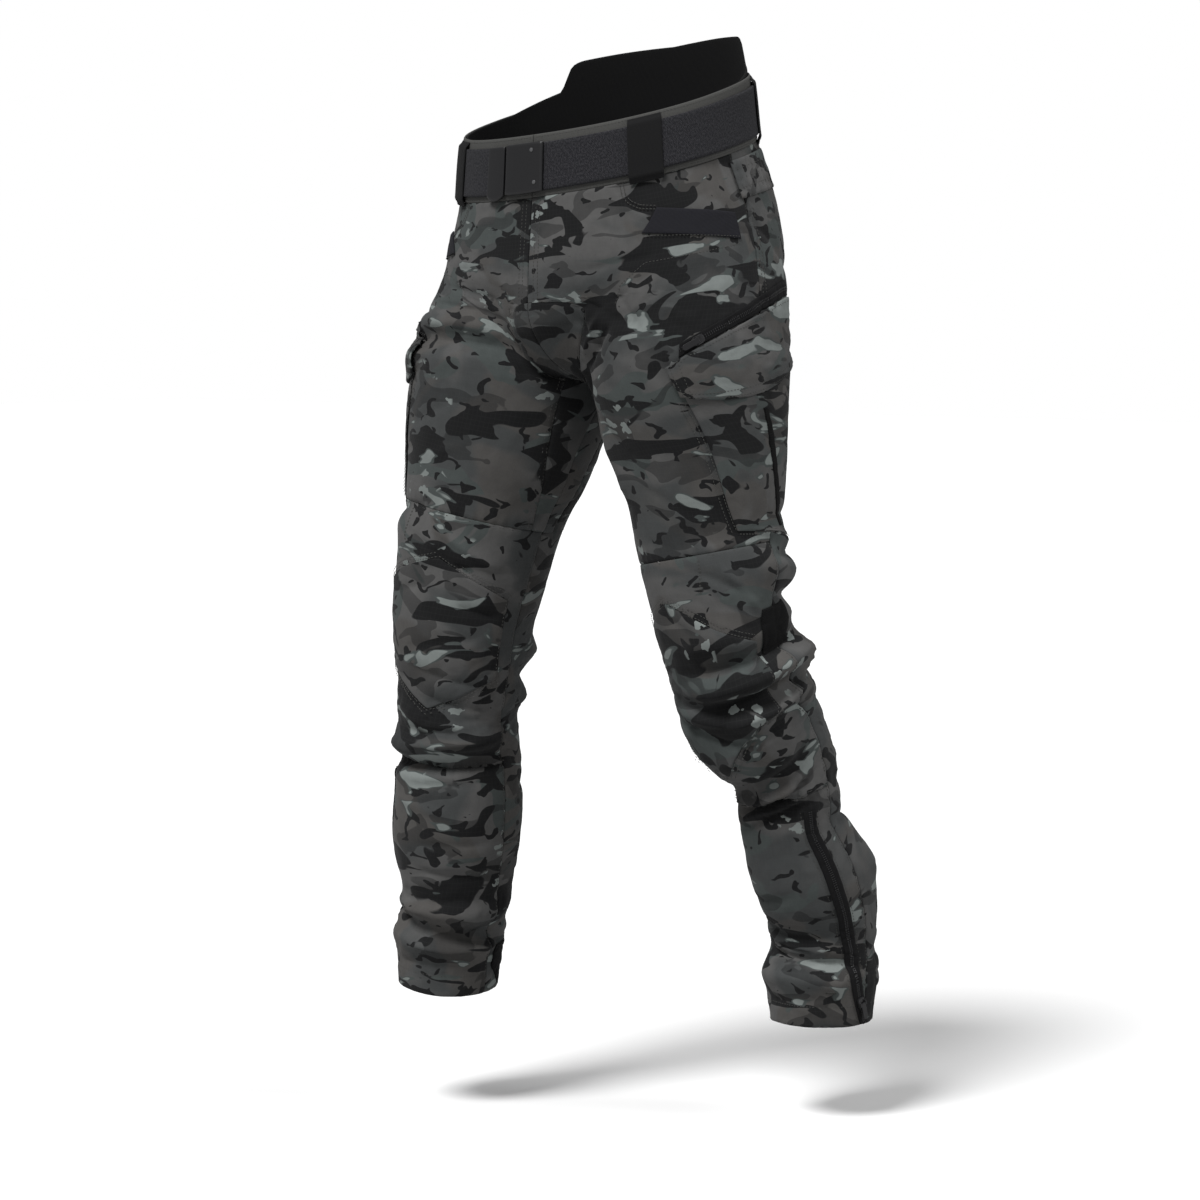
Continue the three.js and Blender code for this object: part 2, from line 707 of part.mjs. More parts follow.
function backRise(turn) {
  const t = Math.min(turn, 1 - turn);
  if (t <= BACK_PANEL[0].turn) return 0;
  const i = BACK_PANEL.findIndex((row, n) => n > 0 && t <= row.turn);
  const [a, b] = [BACK_PANEL[i - 1], BACK_PANEL[i]];
  return lerp(a.rise, b.rise, (t - a.turn) / (b.turn - a.turn));
}

const BELT = { thick: 2.8, seat: 0.6 };
const LOOPS = { front_left: 0.128, front_right: 0.872, side_left: 0.345, side_right: 0.655, back: 0.5 };
const LOOP = { half: 0.0185, top: 3, bottom: 70, thick: 1.3 };

function addWaist() {
  const facing = { top: (turn) => 0.2 - backRise(turn), bottom: BAND_BOTTOM - 4, rows: 3 };
  add("waist_facing", hoop({ ...facing, height: -4.2, thick: 1.8 }), "black");
  const belt = { top: () => BELT_TOP, bottom: BELT_BOTTOM, rows: 2 };
  add("belt", hoop({ ...belt, height: BELT.seat, thick: BELT.thick }), "webbing");
  const over = BELT.seat + BELT.thick + 0.4;
  const clear = 2;
  const down = [LOOP.top, BELT_TOP - clear - 3, BELT_TOP - clear];
  down.push(BELT_BOTTOM + clear, BELT_BOTTOM + clear + 3, LOOP.bottom);
  for (const [name, turn] of Object.entries(LOOPS)) {
    const pieces = down.slice(1).map((s, n) => [
      [turn - LOOP.half, down[n]],
      [turn - LOOP.half, s],
      [turn + LOOP.half, s],
      [turn + LOOP.half, down[n]],
    ]);
    const lift = (u, s) => (s > down[1] + 0.5 && s < down[4] - 0.5 ? over : SEAT);
    const geometry = layer(waist, pieces, { lift, thick: () => LOOP.thick });
    add(`belt_loop_${name}`, geometry, "black");
  }
}

// The two halves of the buckle over the belt's front, a little to the wearer's right.
const BUCKLE = { seat: BELT.seat + BELT.thick + 0.5, thick: 3.6 };

function addBuckle() {
  const plate = (from, to, top, dip) => {
    const foot = (a) => [lerp(from, to, a), BELT_BOTTOM + 1 + dip * Math.sin(Math.PI * a)];
    const pieces = band(line([from, top], [to, top]), foot, steps(3));
    return layer(waist, pieces, { lift: () => BUCKLE.seat, thick: () => BUCKLE.thick });
  };
  add("buckle_catch_plate", plate(-0.031, 0.017, BELT_TOP - 1, 1), "hardware");
  add("buckle_release_plate", plate(-0.057, -0.033, BELT_TOP, 6), "hardware");
}

// The shirred elastic at each side of the waist, gathered into upright ripples.
const GATHER = { from: 0.485, to: 0.66, top: 73, bottom: 110, ripples: 7, high: 0.9 };

function addGather(net) {
  const { from, to, top, bottom, ripples, high } = GATHER;
  const pieces = band(line([from, top], [to, top]), line([from, bottom], [to, bottom]), steps(2 * ripples));
  const thick = (u) => THIN + high * Math.abs(Math.sin((Math.PI * ripples * (u - from)) / (to - from)));
  add(`side_gather_${net.legName}`, layer(net, pieces, { thick }), "camouflage");
}

// The black band along the hip pocket's mouth.
function addHipBand(net) {
  const pieces = band(line([0.264, 99], [0.448, 121]), line([0.228, 124], [0.452, 148]), steps(4));
  add(`hip_pocket_band_${net.legName}`, layer(net, pieces, {}), "black");
}

// The cargo pocket: its zip slants down to the front, its flap hangs below the zip.
const CARGO = { zipHalf: 7, flapLift: SEAT + THIN + SEAT, bellowsThick: 1 };

// The middle line of the zip, from its low front end (0) to its high back end (1).
function cargoZipLine(a) {
  return { u: lerp(0.345, 0.6, a), s: 251 - 53 * (1 - (1 - a) ** 1.6) };
}

function addCargoPocket(net) {
  const { legName } = net;
  const beside = (off) => (a) => [cargoZipLine(a).u, cargoZipLine(a).s + off];
  const zip = band(beside(-CARGO.zipHalf), beside(CARGO.zipHalf), steps(4));
  add(`cargo_zip_${legName}`, layer(net, zip, {}), "zip");
  const flapStops = steps(3).map((a) => lerp(-0.08, 1, a));
  const flapFoot = (a) => {
    const t = (a + 0.08) / 1.08;
    return [lerp(0.342, 0.6, t), 296 + 58 * t * (1 - t) - 23 * t * t];
  };
  const flap = band(beside(CARGO.zipHalf + 1), flapFoot, flapStops);
  add(`cargo_flap_${legName}`, layer(net, flap, { lift: () => CARGO.flapLift }), "camouflage");
  const bagTop = (a) => [lerp(0.34, 0.6, a), lerp(282, 232, a)];
  const bag = band(bagTop, line([0.416, 435], [0.588, 453]), steps(2));
  add(`cargo_bag_${legName}`, layer(net, bag, {}), "camouflage");
  const bellows = band(line([0.486, 320], [0.5, 320]), line([0.544, 440], [0.56, 440]), steps(1));
  const shape = { lift: () => CARGO.flapLift, thick: () => CARGO.bellowsThick };
  add(`cargo_bellows_${legName}`, layer(net, bellows, shape), "black");
}

// The knee: a second layer with slanting edges above and below, and an elastic patch.
function addKnee(net) {
  const { kneeTop } = net.leg;
  const slant = (a) => Math.abs(a - 0.45) / 0.55;
  const upper = (a) => [lerp(0.045, 0.425, a), kneeTop + 44 + 42 * slant(a)];
  const lower = (a) => [lerp(0.045, 0.425, a), kneeTop + 190 - 42 * slant(a)];
  const pocket = band(upper, lower, [0, 0.45, 1]);
  add(`knee_pocket_${net.legName}`, layer(net, pocket, {}), "camouflage");
  const patch = [
    [0.458, kneeTop + 60],
    [0.44, kneeTop + 102],
    [0.545, kneeTop + 104],
    [0.56, kneeTop + 57],
  ];
  add(`knee_patch_${net.legName}`, layer(net, [patch], {}), "black");
}

// The ankle: a zip at the outer side that runs out at the hem, and a tab at the inner side.
function ankleZipLine(net, b) {
  const { kneeBottom, hem } = net.leg;
  return { u: 0.416 + 0.014 * b + 0.08 * b ** 5, s: lerp(kneeBottom + 16, hem - 1, b) };
}

function addAnkle(net) {
  const half = 0.021;
  const beside = (off) => (b) => {
    const { u, s } = ankleZipLine(net, b);
    return [u + off, s];
  };
  const stops = [0, 0.5, 0.7, 0.85, 0.94, 1];
  const zip = band(beside(-half), beside(half), stops);
  add(`ankle_zip_${net.legName}`, layer(net, zip, {}), "zip");
  const { hem } = net.leg;
  const tab = [[0.915, hem - 58], [0.925, hem - 4], [0.985, hem - 28], [0.985, hem - 60]];
  add(`hem_tab_${net.legName}`, layer(net, [tab], {}), "black");
}

// A prism with that outline in x and y, from z0 to z1, moved onto a place on the cloth.
// x runs along the zip, y across it and z out of the cloth.
function prism(outline, z0, z1, frame) {
  const ring = [...outline, ...outline].map(([x, y], i) =>
    new THREE.Vector3(x, y, i < outline.length ? z1 : z0).applyMatrix4(frame),
  );
  const count = outline.length;
  const faces = [];
  for (let i = 0; i < count; i += 1) {
    const next = (i + 1) % count;
    faces.push([next, i, i + count, next + count]);
  }
  for (let i = 1; i < count - 1; i += 1) {
    faces.push([0, i, i + 1], [count, i + 1 + count, i + count]);
  }
  return solid(ring, faces);
}

// The frame of a slider on its zip's line, facing the way its pull tab hangs.
function sliderFrame(net, line, at, toward, height) {
  const point = (t) => above(net, line(t).u, line(t).s, height);
  const origin = point(at);
  const x = point(at + toward).sub(origin).normalize();
  const { u, s } = line(at);
  const out = above(net, u, s, height + 5).sub(origin).normalize();
  const y = out.clone().cross(x).normalize();
  const z = x.clone().cross(y);
  return new THREE.Matrix4().makeBasis(x, y, z).setPosition(origin);
}

// A slider is a channel with two lugs, and its pull tab hangs on a pin between them.
const SLIDER = { long: 12, half: 4.5, inner: 3.5, floor: 2.4, high: 4.6 };
const PULL = { pivot: 3.7, half: 3.1, behind: 0.6, long: 19, thick: 1.4 };

function addSlider(net, kind, line, at, toward) {
  const height = SEAT + THIN + 0.5;
  const frame = sliderFrame(net, line, at, toward, height);
  const turned = frame.clone().multiply(
    new THREE.Matrix4().makeBasis(
      new THREE.Vector3(0, 1, 0),
      new THREE.Vector3(0, 0, 1),
      new THREE.Vector3(1, 0, 0),
    ),
  );
  const { half, inner, floor, high, long } = SLIDER;
  const channel = channelFaces([
    [-half, 0], [half, 0], [half, high], [inner, high],
    [inner, floor], [-inner, floor], [-inner, high], [-half, high],
  ], -long / 2, long / 2, turned);
  add(`${kind}_slider_${net.legName}`, channel, "hardware");
  const tab = [
    [-PULL.behind, -PULL.half],
    [PULL.long - 3, -PULL.half],
    [PULL.long, -PULL.half + 1.6],
    [PULL.long, PULL.half - 1.6],
    [PULL.long - 3, PULL.half],
    [-PULL.behind, PULL.half],
  ];
  const [low, top] = [PULL.pivot - PULL.thick / 2, PULL.pivot + PULL.thick / 2];
  add(`${kind}_pull_${net.legName}`, prism(tab, low, top, frame), "hardware");
  const axis = new THREE.Vector3(0, 1, 0).transformDirection(frame);
  const pin = new THREE.Vector3(0, 0, PULL.pivot).applyMatrix4(frame);
  return { name: `${kind}_pull_${net.legName}`, pin, axis };
}

// A U-shaped profile along the zip. Its caps are three rectangles each.
function channelFaces(outline, from, to, frame) {
  const points = [...outline, ...outline].map(([x, y], i) =>
    new THREE.Vector3(x, y, i < 8 ? to : from).applyMatrix4(frame),
  );
  const faces = [[0, 1, 4, 5], [1, 2, 3, 4], [0, 5, 6, 7]];
  for (const cap of faces.slice()) faces.push(cap.map((n) => n + 8).reverse());
  for (let i = 0; i < 8; i += 1) {
    const next = (i + 1) % 8;
    faces.push([next, i, i + 8, next + 8]);
  }
  return solid(points, faces);
}

for (const net of Object.values(nets)) {
  addPanels(net);
  addGather(net);
  addHipBand(net);
  addCargoPocket(net);
  addKnee(net);
  addAnkle(net);
}
addGusset();
addWaist();
addBuckle();
const pins = Object.values(nets).flatMap((net) => [
  addSlider(net, "cargo", cargoZipLine, 0.11, -0.05),
  addSlider(net, "ankle", (b) => ankleZipLine(net, b), 0.9, 0.03),
]);

export default trousers;
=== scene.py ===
import math
from functools import partial

import bpy
import numpy as np
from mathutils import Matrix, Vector


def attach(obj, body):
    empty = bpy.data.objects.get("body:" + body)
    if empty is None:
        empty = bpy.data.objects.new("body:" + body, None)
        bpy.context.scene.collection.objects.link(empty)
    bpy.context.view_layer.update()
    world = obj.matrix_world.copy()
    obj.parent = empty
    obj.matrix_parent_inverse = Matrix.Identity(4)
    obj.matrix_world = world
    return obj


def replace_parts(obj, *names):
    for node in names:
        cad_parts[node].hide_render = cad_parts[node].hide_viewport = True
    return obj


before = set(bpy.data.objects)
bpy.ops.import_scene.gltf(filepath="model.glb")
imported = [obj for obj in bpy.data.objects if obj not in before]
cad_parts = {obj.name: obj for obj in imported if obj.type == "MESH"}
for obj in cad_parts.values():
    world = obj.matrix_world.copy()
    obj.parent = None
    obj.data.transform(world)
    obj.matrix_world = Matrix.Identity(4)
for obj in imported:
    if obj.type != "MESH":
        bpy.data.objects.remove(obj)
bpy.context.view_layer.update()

# The trousers' surface is made from the same tables as the solids, in millimetres, and turned
# into metres as each mesh is written. A place on a leg is (u, s): s is the drop below the top
# of the waistband, and u goes round from the inseam (0) over the front crease (0.25), the
# outseam (0.5) and the back crease (0.75) to the inseam again.
MM = 0.001
# Thickness of a main panel, of a piece sewn on it and of the cargo flap, and the gap under them.
WALL = 2.0
THIN = 1.4
FLAP = 1.7
SEAT = 0.3
# The waistband and the belt, as s, as girth and out from the cloth; MIDDLE_GIRTH is a leg's.
WAIST_TOP_Z = 36.0
BAND_BOTTOM = 66.0
WAIST = 930.0
BELT_TOP = 10.0
BELT_BOTTOM = 60.0
BELT_LIFT = 0.6
BELT_THICK = 2.8
MIDDLE_GIRTH = 480.0
# The fork: where the legs begin to part, their meeting point and the gusset's rounded top.
FORK_START = 190.0
CROTCH = 284.0
CROTCH_Y = 8.0
GUSSET_ARCH = 16.0
# Sewn edges all but touch, so that no light comes through a seam. SEAM is in millimetres of s,
# and SEAM_U the same in u.
SEAM = 0.02
SEAM_U = 0.00005


def table(keys, *rows):
    return [dict(zip(keys.split(), row)) for row in rows]


HIPS = table(
    "s y width front back tilt roll",
    (0, -4, 155, 121, 131, 15.5, 5),
    (66, -3, 162, 124, 137, 14, 5),
    (110, 3, 175, 132, 144, 11, 4.5),
    (160, 8, 185, 139, 150, 7, 4),
    (210, 8, 191, 139, 152, 4, 3),
    (284, 4, 197, 136, 142, 2, 1),
)

LEGS = {
    "right": {
        "side": -1,
        "knee_top": 425,
        "knee_bottom": 680,
        "hem": 933,
        "sections": table(
            "s x y across deep",
            (180, 96, -8, 100, 120), (284, 104, -25, 101, 111), (362, 115, -36, 95, 98),
            (400, 123, -42, 86, 89), (432, 129, -46, 80, 83), (482, 140, -51, 77, 80),
            (532, 147, -55, 71, 75), (586, 154, -52, 65, 69), (632, 163, -47, 60, 64),
            (682, 168, -40, 63, 67), (732, 173, -34, 65, 69), (772, 181, -28, 65, 69),
            (832, 188, -20, 55, 58), (880, 201, -15, 55, 58), (933, 208, -11, 51, 54),
        ),
    },
    "left": {
        "side": 1,
        "knee_top": 456,
        "knee_bottom": 701,
        "hem": 960,
        "sections": table(
            "s x y across deep",
            (180, 96, 2, 96, 120), (284, 104, 5, 95, 106), (362, 115, 11, 81, 86),
            (432, 118, 18, 74, 77), (482, 126, 22, 72, 75), (532, 131, 27, 65, 69),
            (582, 138, 46, 67, 71), (632, 142, 67, 67, 71), (667, 151, 93, 57, 61),
            (702, 155, 109, 52, 56), (742, 153, 118, 52, 55), (790, 156, 142, 59, 62),
            (832, 156, 165, 57, 60), (872, 153, 178, 55, 58), (912, 151, 178, 57, 60),
            (960, 150, 178, 52, 55),
        ),
    },
}

# How far round a leg the crotch gusset reaches from the inseam, and its flat cut in metres:
# across, down and area.
GUSSET_CUT = (0.13, 0.47, 0.045)
GUSSET = table(
    "s left right",
    (110, 0.042, 0.042), (190, 0.12, 0.04), (284, 0.07, 0.075), (420, 0.034, 0.034),
)

# Folds as (u0, s0, u1, s1, wide, high): from the first place to the second, wide from the middle
# to the foot, high outward.
LARGE_FOLDS = {
    "right": [
        (0.13, 252, 0.4, 256, 13, -7), (0.13, 234, 0.4, 236, 16, 4), (0.14, 274, 0.4, 278, 18, 3),
        (0.2, 462, 0.42, 450, 22, 4), (0.02, 640, 0.34, 622, 16, 4), (0.0, 652, 0.42, 664, 14, 7),
        (-0.02, 668, 0.42, 682, 12, -8), (0.55, 560, 0.95, 566, 16, 7),
        (0.55, 590, 0.95, 588, 14, -7), (0.55, 616, 0.95, 612, 16, 6),
        (-0.08, 838, 0.4, 842, 16, 5), (-0.08, 852, 0.42, 862, 13, -8),
        (-0.06, 872, 0.44, 880, 15, 5), (0.5, 860, 0.88, 852, 16, -5),
    ],
    "left": [
        (0.1, 300, 0.16, 400, 20, 5), (0.44, 476, 0.64, 486, 20, 6),
        (0.5, 506, 0.78, 512, 13, -6), (0.52, 536, 0.8, 536, 16, 3),
        (0.24, 530, 0.42, 540, 16, 5), (0.22, 552, 0.6, 558, 13, -6),
        (0.2, 570, 0.66, 578, 14, 8), (0.2, 588, 0.7, 594, 11, -7), (0.12, 684, 0.5, 660, 12, -6),
        (0.12, 704, 0.44, 682, 12, 5), (0.12, 722, 0.4, 700, 11, -5),
        (0.52, 800, 0.86, 832, 26, 6), (0.12, 846, 0.42, 846, 15, -5),
        (0.1, 884, 0.46, 892, 13, -7), (0.08, 910, 0.44, 908, 18, 6),
        (0.54, 880, 0.9, 872, 15, -5),
    ],
}
SMALL_FOLDS = {
    "right": [
        (0.08, 470, 0.26, 436, 7, 2.6), (0.12, 482, 0.3, 452, 6, -2.2),
        (0.06, 520, 0.16, 516, 6, -2.4), (0.02, 676, 0.44, 686, 6, -3.5),
        (0.04, 664, 0.38, 656, 6, -3.0), (0.08, 648, 0.4, 660, 6, 2.4),
        (0.26, 420, 0.44, 440, 7, -2.2), (0.16, 243, 0.34, 247, 5, -2.2),
        (0.22, 262, 0.38, 270, 5, -1.6), (0.3, 282, 0.4, 310, 6, -1.8),
        (0.24, 318, 0.33, 345, 5, -1.2), (0.2, 352, 0.28, 380, 5, 1.0),
        (0.1, 212, 0.3, 206, 7, -1.8), (0.08, 190, 0.26, 176, 7, -1.4),
        (0.3, 232, 0.42, 205, 7, -2.0), (0.1, 150, 0.24, 146, 8, -1.2),
        (0.05, 468, 0.2, 476, 6, -1.4), (0.24, 500, 0.36, 516, 7, -1.6),
        (0.1, 540, 0.3, 560, 8, -1.5), (0.06, 590, 0.3, 574, 6, -2.0),
        (0.04, 612, 0.22, 604, 6, -2.2), (0.1, 634, 0.34, 644, 5, -1.8),
        (0.06, 694, 0.3, 702, 7, -1.8), (0.16, 726, 0.36, 718, 8, 1.6),
        (0.04, 752, 0.28, 762, 8, -1.6), (0.0, 800, 0.26, 792, 7, -2.2),
        (0.06, 822, 0.34, 830, 6, -2.0), (0.1, 896, 0.34, 902, 6, -1.6),
        (-0.02, 864, 0.4, 870, 6, -3.6), (0.12, 880, 0.44, 866, 6, 2.6),
        (0.55, 260, 0.9, 300, 12, -2.5), (0.55, 300, 0.9, 350, 12, 2.0),
        (0.56, 700, 0.94, 712, 10, -2.5), (0.54, 770, 0.9, 760, 10, -2.5),
    ],
    "left": [
        (0.2, 221, 0.125, 262, 9, -4.0), (0.122, 262, 0.115, 332, 9, -3.6),
        (0.165, 208, 0.11, 250, 8, 2.6), (0.19, 182, 0.27, 230, 8, -2.8),
        (0.16, 592, 0.32, 607, 8, 5.0), (0.3, 607, 0.5, 603, 8, 7.0),
        (0.48, 603, 0.64, 578, 9, 7.0), (0.14, 607, 0.34, 626, 6, -3.6),
        (0.34, 624, 0.54, 616, 6, -3.6), (0.3, 588, 0.52, 585, 6, -2.6),
        (0.16, 660, 0.44, 690, 6, -3.0), (0.14, 721, 0.48, 678, 5, -5.0),
        (0.15, 730, 0.46, 692, 5, 3.4), (0.47, 440, 0.62, 462, 9, 3.0),
        (0.5, 470, 0.7, 470, 8, -4.0), (0.08, 205, 0.18, 250, 7, -2.4),
        (0.13, 196, 0.26, 226, 8, -2.0), (0.06, 258, 0.12, 320, 7, -2.0),
        (0.14, 300, 0.22, 360, 8, -1.2), (0.22, 380, 0.34, 410, 7, -1.0),
        (0.1, 160, 0.26, 150, 8, -1.4), (0.5, 132, 0.6, 165, 8, -2.0),
        (0.56, 160, 0.7, 190, 9, -2.0), (0.3, 470, 0.44, 502, 6, -1.8),
        (0.36, 468, 0.46, 520, 6, 1.6), (0.2, 510, 0.3, 530, 7, -1.4),
        (0.24, 562, 0.5, 566, 5, 1.6), (0.28, 582, 0.5, 590, 5, -2.2),
        (0.16, 612, 0.34, 606, 7, -2.0), (0.34, 618, 0.5, 606, 6, -2.0),
        (0.2, 640, 0.42, 628, 7, 1.8), (0.14, 664, 0.4, 646, 6, -2.0),
        (0.14, 690, 0.46, 672, 5, -2.0), (0.16, 708, 0.4, 680, 6, 2.4),
        (0.14, 740, 0.44, 704, 5, -4.4), (0.5, 690, 0.72, 722, 9, -2.5),
        (0.54, 740, 0.8, 770, 9, -2.5), (0.1, 806, 0.3, 790, 7, -1.6),
        (0.12, 832, 0.34, 826, 7, -1.6), (0.08, 864, 0.32, 872, 6, -2.0),
        (0.16, 900, 0.4, 904, 5, -2.0), (0.14, 934, 0.36, 930, 6, -1.8),
        (0.5, 250, 0.9, 290, 12, -2.5), (0.5, 420, 0.9, 440, 12, -2.5),
    ],
}

# Where a slider stands along its zip, and the step towards the end that its pull tab points to.
CARGO_SLIDER = (0.11, -0.05)
ANKLE_SLIDER = (0.9, 0.03)

# Where a leg is wrinkled: the middle and half width of a band of s, and its height.
WRINKLES = {
    "right": [(250, 50, 0.9), (620, 70, 1.2), (850, 60, 1.3)],
    "left": [(230, 45, 0.8), (600, 80, 1.2), (710, 50, 1.2), (890, 60, 1.3)],
}

GRID = 3.2


def column(table, name):
    return np.array([row[name] for row in table], float)


# A table's column at s, on a smooth curve through its rows.
def smooth_curve(table, name, s):
    keys = column(table, "s")
    values = column(table, name)
    i = np.clip(np.searchsorted(keys, s, side="left") - 1, 0, len(keys) - 2)
    slopes = np.diff(values) / np.diff(keys)
    tangents = np.empty_like(values)
    tangents[1:-1] = (values[2:] - values[:-2]) / (keys[2:] - keys[:-2])
    tangents[0] = slopes[0]
    tangents[-1] = slopes[-1]
    span = keys[i + 1] - keys[i]
    t = (s - keys[i]) / span
    t2 = t * t
    t3 = t2 * t
    curve = (
        values[i] * (2 * t3 - 3 * t2 + 1)
        + values[i + 1] * (3 * t2 - 2 * t3)
        + tangents[i] * span * (t3 - 2 * t2 + t)
        + tangents[i + 1] * span * (t3 - t2)
    )
    return np.where(t < 0, values[i] + tangents[i] * (s - keys[i]), curve)


CURVES = {}
CURVE_S = np.arange(-80.0, 1040.0, 1.0)


# The same curve, worked out once a millimetre and read from there.
def along(table, name, s):
    key = (id(table), name)
    if key not in CURVES:
        CURVES[key] = smooth_curve(table, name, CURVE_S)
    return np.interp(s, CURVE_S, CURVES[key])


def squared(angle, power):
    reach = np.abs(np.sin(angle)) ** power + np.abs(np.cos(angle)) ** power
    return reach ** (-1 / power)


def unit(v):
    return v / np.maximum(np.linalg.norm(v, axis=-1, keepdims=True), 1e-12)


def clip01(x):
    return np.clip(x, 0, 1)


# A place on the other side of the inseam, brought back to 0 to 1.
def wrap(u):
    return np.where(u < 0, u + 1, np.where(u > 1, u - 1, u))


# A leg's rough girth, for maps and seams.
def girth_of(leg, s):
    return 2.1 * np.pi * along(LEGS[leg]["sections"], "across", np.maximum(s, 180))


# Half of the hips' ring, from the centre front to the centre back.
def hip_point(side, u, s):
    angle = np.pi * u
    out = squared(angle, 2.25)
    depth = np.where(u < 0.5, along(HIPS, "front", s), along(HIPS, "back", s))
    x = along(HIPS, "width", s) * out * np.sin(angle)
    y = -depth * out * np.cos(angle)
    tilt = np.radians(along(HIPS, "tilt", s))
    roll = np.radians(along(HIPS, "roll", s))
    return np.stack(
        [
            side * x * np.cos(roll),
            along(HIPS, "y", s) + y * np.cos(tilt),
            WAIST_TOP_Z - s + y * np.sin(tilt) + side * x * np.sin(roll),
        ],
        axis=-1,
    )


def leg_middle(leg, s):
    sections = leg["sections"]
    x = leg["side"] * along(sections, "x", s)
    return np.stack([x, along(sections, "y", s), WAIST_TOP_Z - s], axis=-1)


# The whole ring of a leg, square to the way the leg runs.
def leg_point(leg, u, s):
    step = 14.0
    down = unit(leg_middle(leg, s + step) - leg_middle(leg, s - step))
    back = np.zeros_like(down)
    back[..., 1] = 1
    back = unit(back - down * down[..., 1:2])
    leftward = np.cross(back, -down)
    angle = 2 * np.pi * u
    out = squared(angle, 2.12)
    across = -along(leg["sections"], "across", s) * out * np.cos(angle)
    deep = -along(leg["sections"], "deep", s) * out * np.sin(angle)
    ring = leg_middle(leg, s) + leftward * (leg["side"] * across)[..., None]
    return ring + back * deep[..., None]


# Both legs start at one crotch point, and the pull towards it fades down the thigh.
def pull_to_crotch(leg, point, u, s):
    from_seam = np.minimum(u, 1 - u) / 0.11
    faded = clip01(1 - (s - CROTCH) / 85) ** 2
    fade = np.where(s <= CROTCH, 1.0, faded)
    share = np.exp(-from_seam * from_seam) * fade
    inner = leg_point(leg, np.zeros_like(u), s)
    seam_x = np.where(s <= CROTCH, 0.0, inner[..., 0] * (1 - fade))
    seam = np.stack([seam_x, np.full_like(s, CROTCH_Y), WAIST_TOP_Z - s], axis=-1)
    return point + (seam - inner) * share[..., None]


# The cloth without its folds.
def smooth_point(name, u, s):
    leg = LEGS[name]
    u, s = np.broadcast_arrays(np.asarray(u, float) % 1.0000001, np.asarray(s, float))
    hips = hip_point(leg["side"], u, np.minimum(s, CROTCH + 60))
    ring = pull_to_crotch(leg, leg_point(leg, u, np.maximum(s, 100.0)), u, np.maximum(s, 100.0))
    fork = clip01((s - FORK_START) / (CROTCH - FORK_START))
    flank = clip01((s - FORK_START + 70) / (CROTCH - FORK_START + 70))
    from_seam = np.minimum(u, 1 - u) / 0.13
    near = np.exp(-from_seam * from_seam)
    share = near * (1 - np.sqrt(1 - fork * fork)) + (1 - near) * flank * flank * (3 - 2 * flank)
    share = np.where(s >= CROTCH, 1.0, share)[..., None]
    return hips * (1 - share) + ring * share


def fold_height(name, u, s, folds, power):
    height = np.zeros(np.shape(u))
    for u0, s0, u1, s1, wide, high in folds[name]:
        run_x = (u1 - u0) * MIDDLE_GIRTH
        run_y = s1 - s0
        for turn in (-1, 0, 1):
            x = (u + turn - u0) * MIDDLE_GIRTH
            y = s - s0
            t = (x * run_x + y * run_y) / (run_x**2 + run_y**2)
            held = clip01(t)
            off = np.hypot(x - held * run_x, y - held * run_y) / wide
            ends = np.minimum(4 * (held + 0.05), 4 * (1.05 - held))
            fade = np.minimum(1, ends) * ((t > -0.2) & (t < 1.2))
            height += high * fade * np.exp(-(off**power) * 1.6)
    return height


# Waves in many directions, mostly up and down, that add up to an even crumple.
WAVES = np.random.default_rng(7)
WAVE_WAY = WAVES.normal(size=(26, 3)) * [0.55, 0.55, 1.2]
WAVE_LONG = WAVES.uniform(11, 46, 26)
WAVE_START = WAVES.uniform(0, 2 * np.pi, 26)


def crumple(points):
    total = np.zeros(points.shape[:-1])
    for way, long, start in zip(unit(WAVE_WAY), WAVE_LONG, WAVE_START):
        total += np.sin(points @ way * (2 * np.pi / long) + start) * (long / 46) ** 0.7
    return total / 4.0


# The seams pull the cloth into a groove with small puckers beside it.
def pucker(distance, run):
    groove = -0.55 * np.exp(-((distance / 2.6) ** 2))
    ripples = 0.3 * np.sin(2 * np.pi * run / 10.5 + np.sin(run / 17))
    return groove + ripples * np.exp(-((distance / 9) ** 2))


def detail_height(name, u, s, points):
    leg = LEGS[name]
    girth = girth_of(name, s)
    amount = np.full(np.shape(u), 0.3)
    for middle, half, high in WRINKLES[name]:
        amount += high * np.exp(-(((s - middle) / half) ** 2))
    noise = crumple(points)
    height = amount * (0.6 * noise - 0.75 * np.exp(-((noise / 0.22) ** 2)) + 0.3)
    height += 1.6 * fold_height(name, u, s, SMALL_FOLDS, 1.3)
    height += 0.42 * fold_height(name, u, s, LARGE_FOLDS, 1.1)
    height += pucker(np.abs(u - 0.5) * girth, s)
    reach = np.where(s > FORK_START, along(GUSSET, name, np.clip(s, 110, 420)), 0.0)
    reach = np.where(s > leg["knee_top"], 0.0, reach)
    inner = np.minimum(np.abs(u - reach), np.abs(1 - u - reach)) * girth
    height += pucker(inner, s)
    front = u < 0.5
    height += np.where(front, 1.3 * pucker(np.abs(s - leg["knee_top"]), u * girth), 0)
    height += np.where(front, 2.4 * pucker(np.abs(s - leg["knee_bottom"]), u * girth), 0)
    height += 1.3 * pucker(np.abs(s - BAND_BOTTOM), u * girth)
    hem = leg["hem"]
    height += pucker(np.abs(s - hem + 22), u * girth)
    for at_u, at_s in (zip_line(CARGO_SLIDER[0]), ankle_line(name)(ANKLE_SLIDER[0])):
        away = np.hypot((u - at_u) * girth, s - at_s) / 19
        height *= 1 - np.exp(-(away**4))
    return height


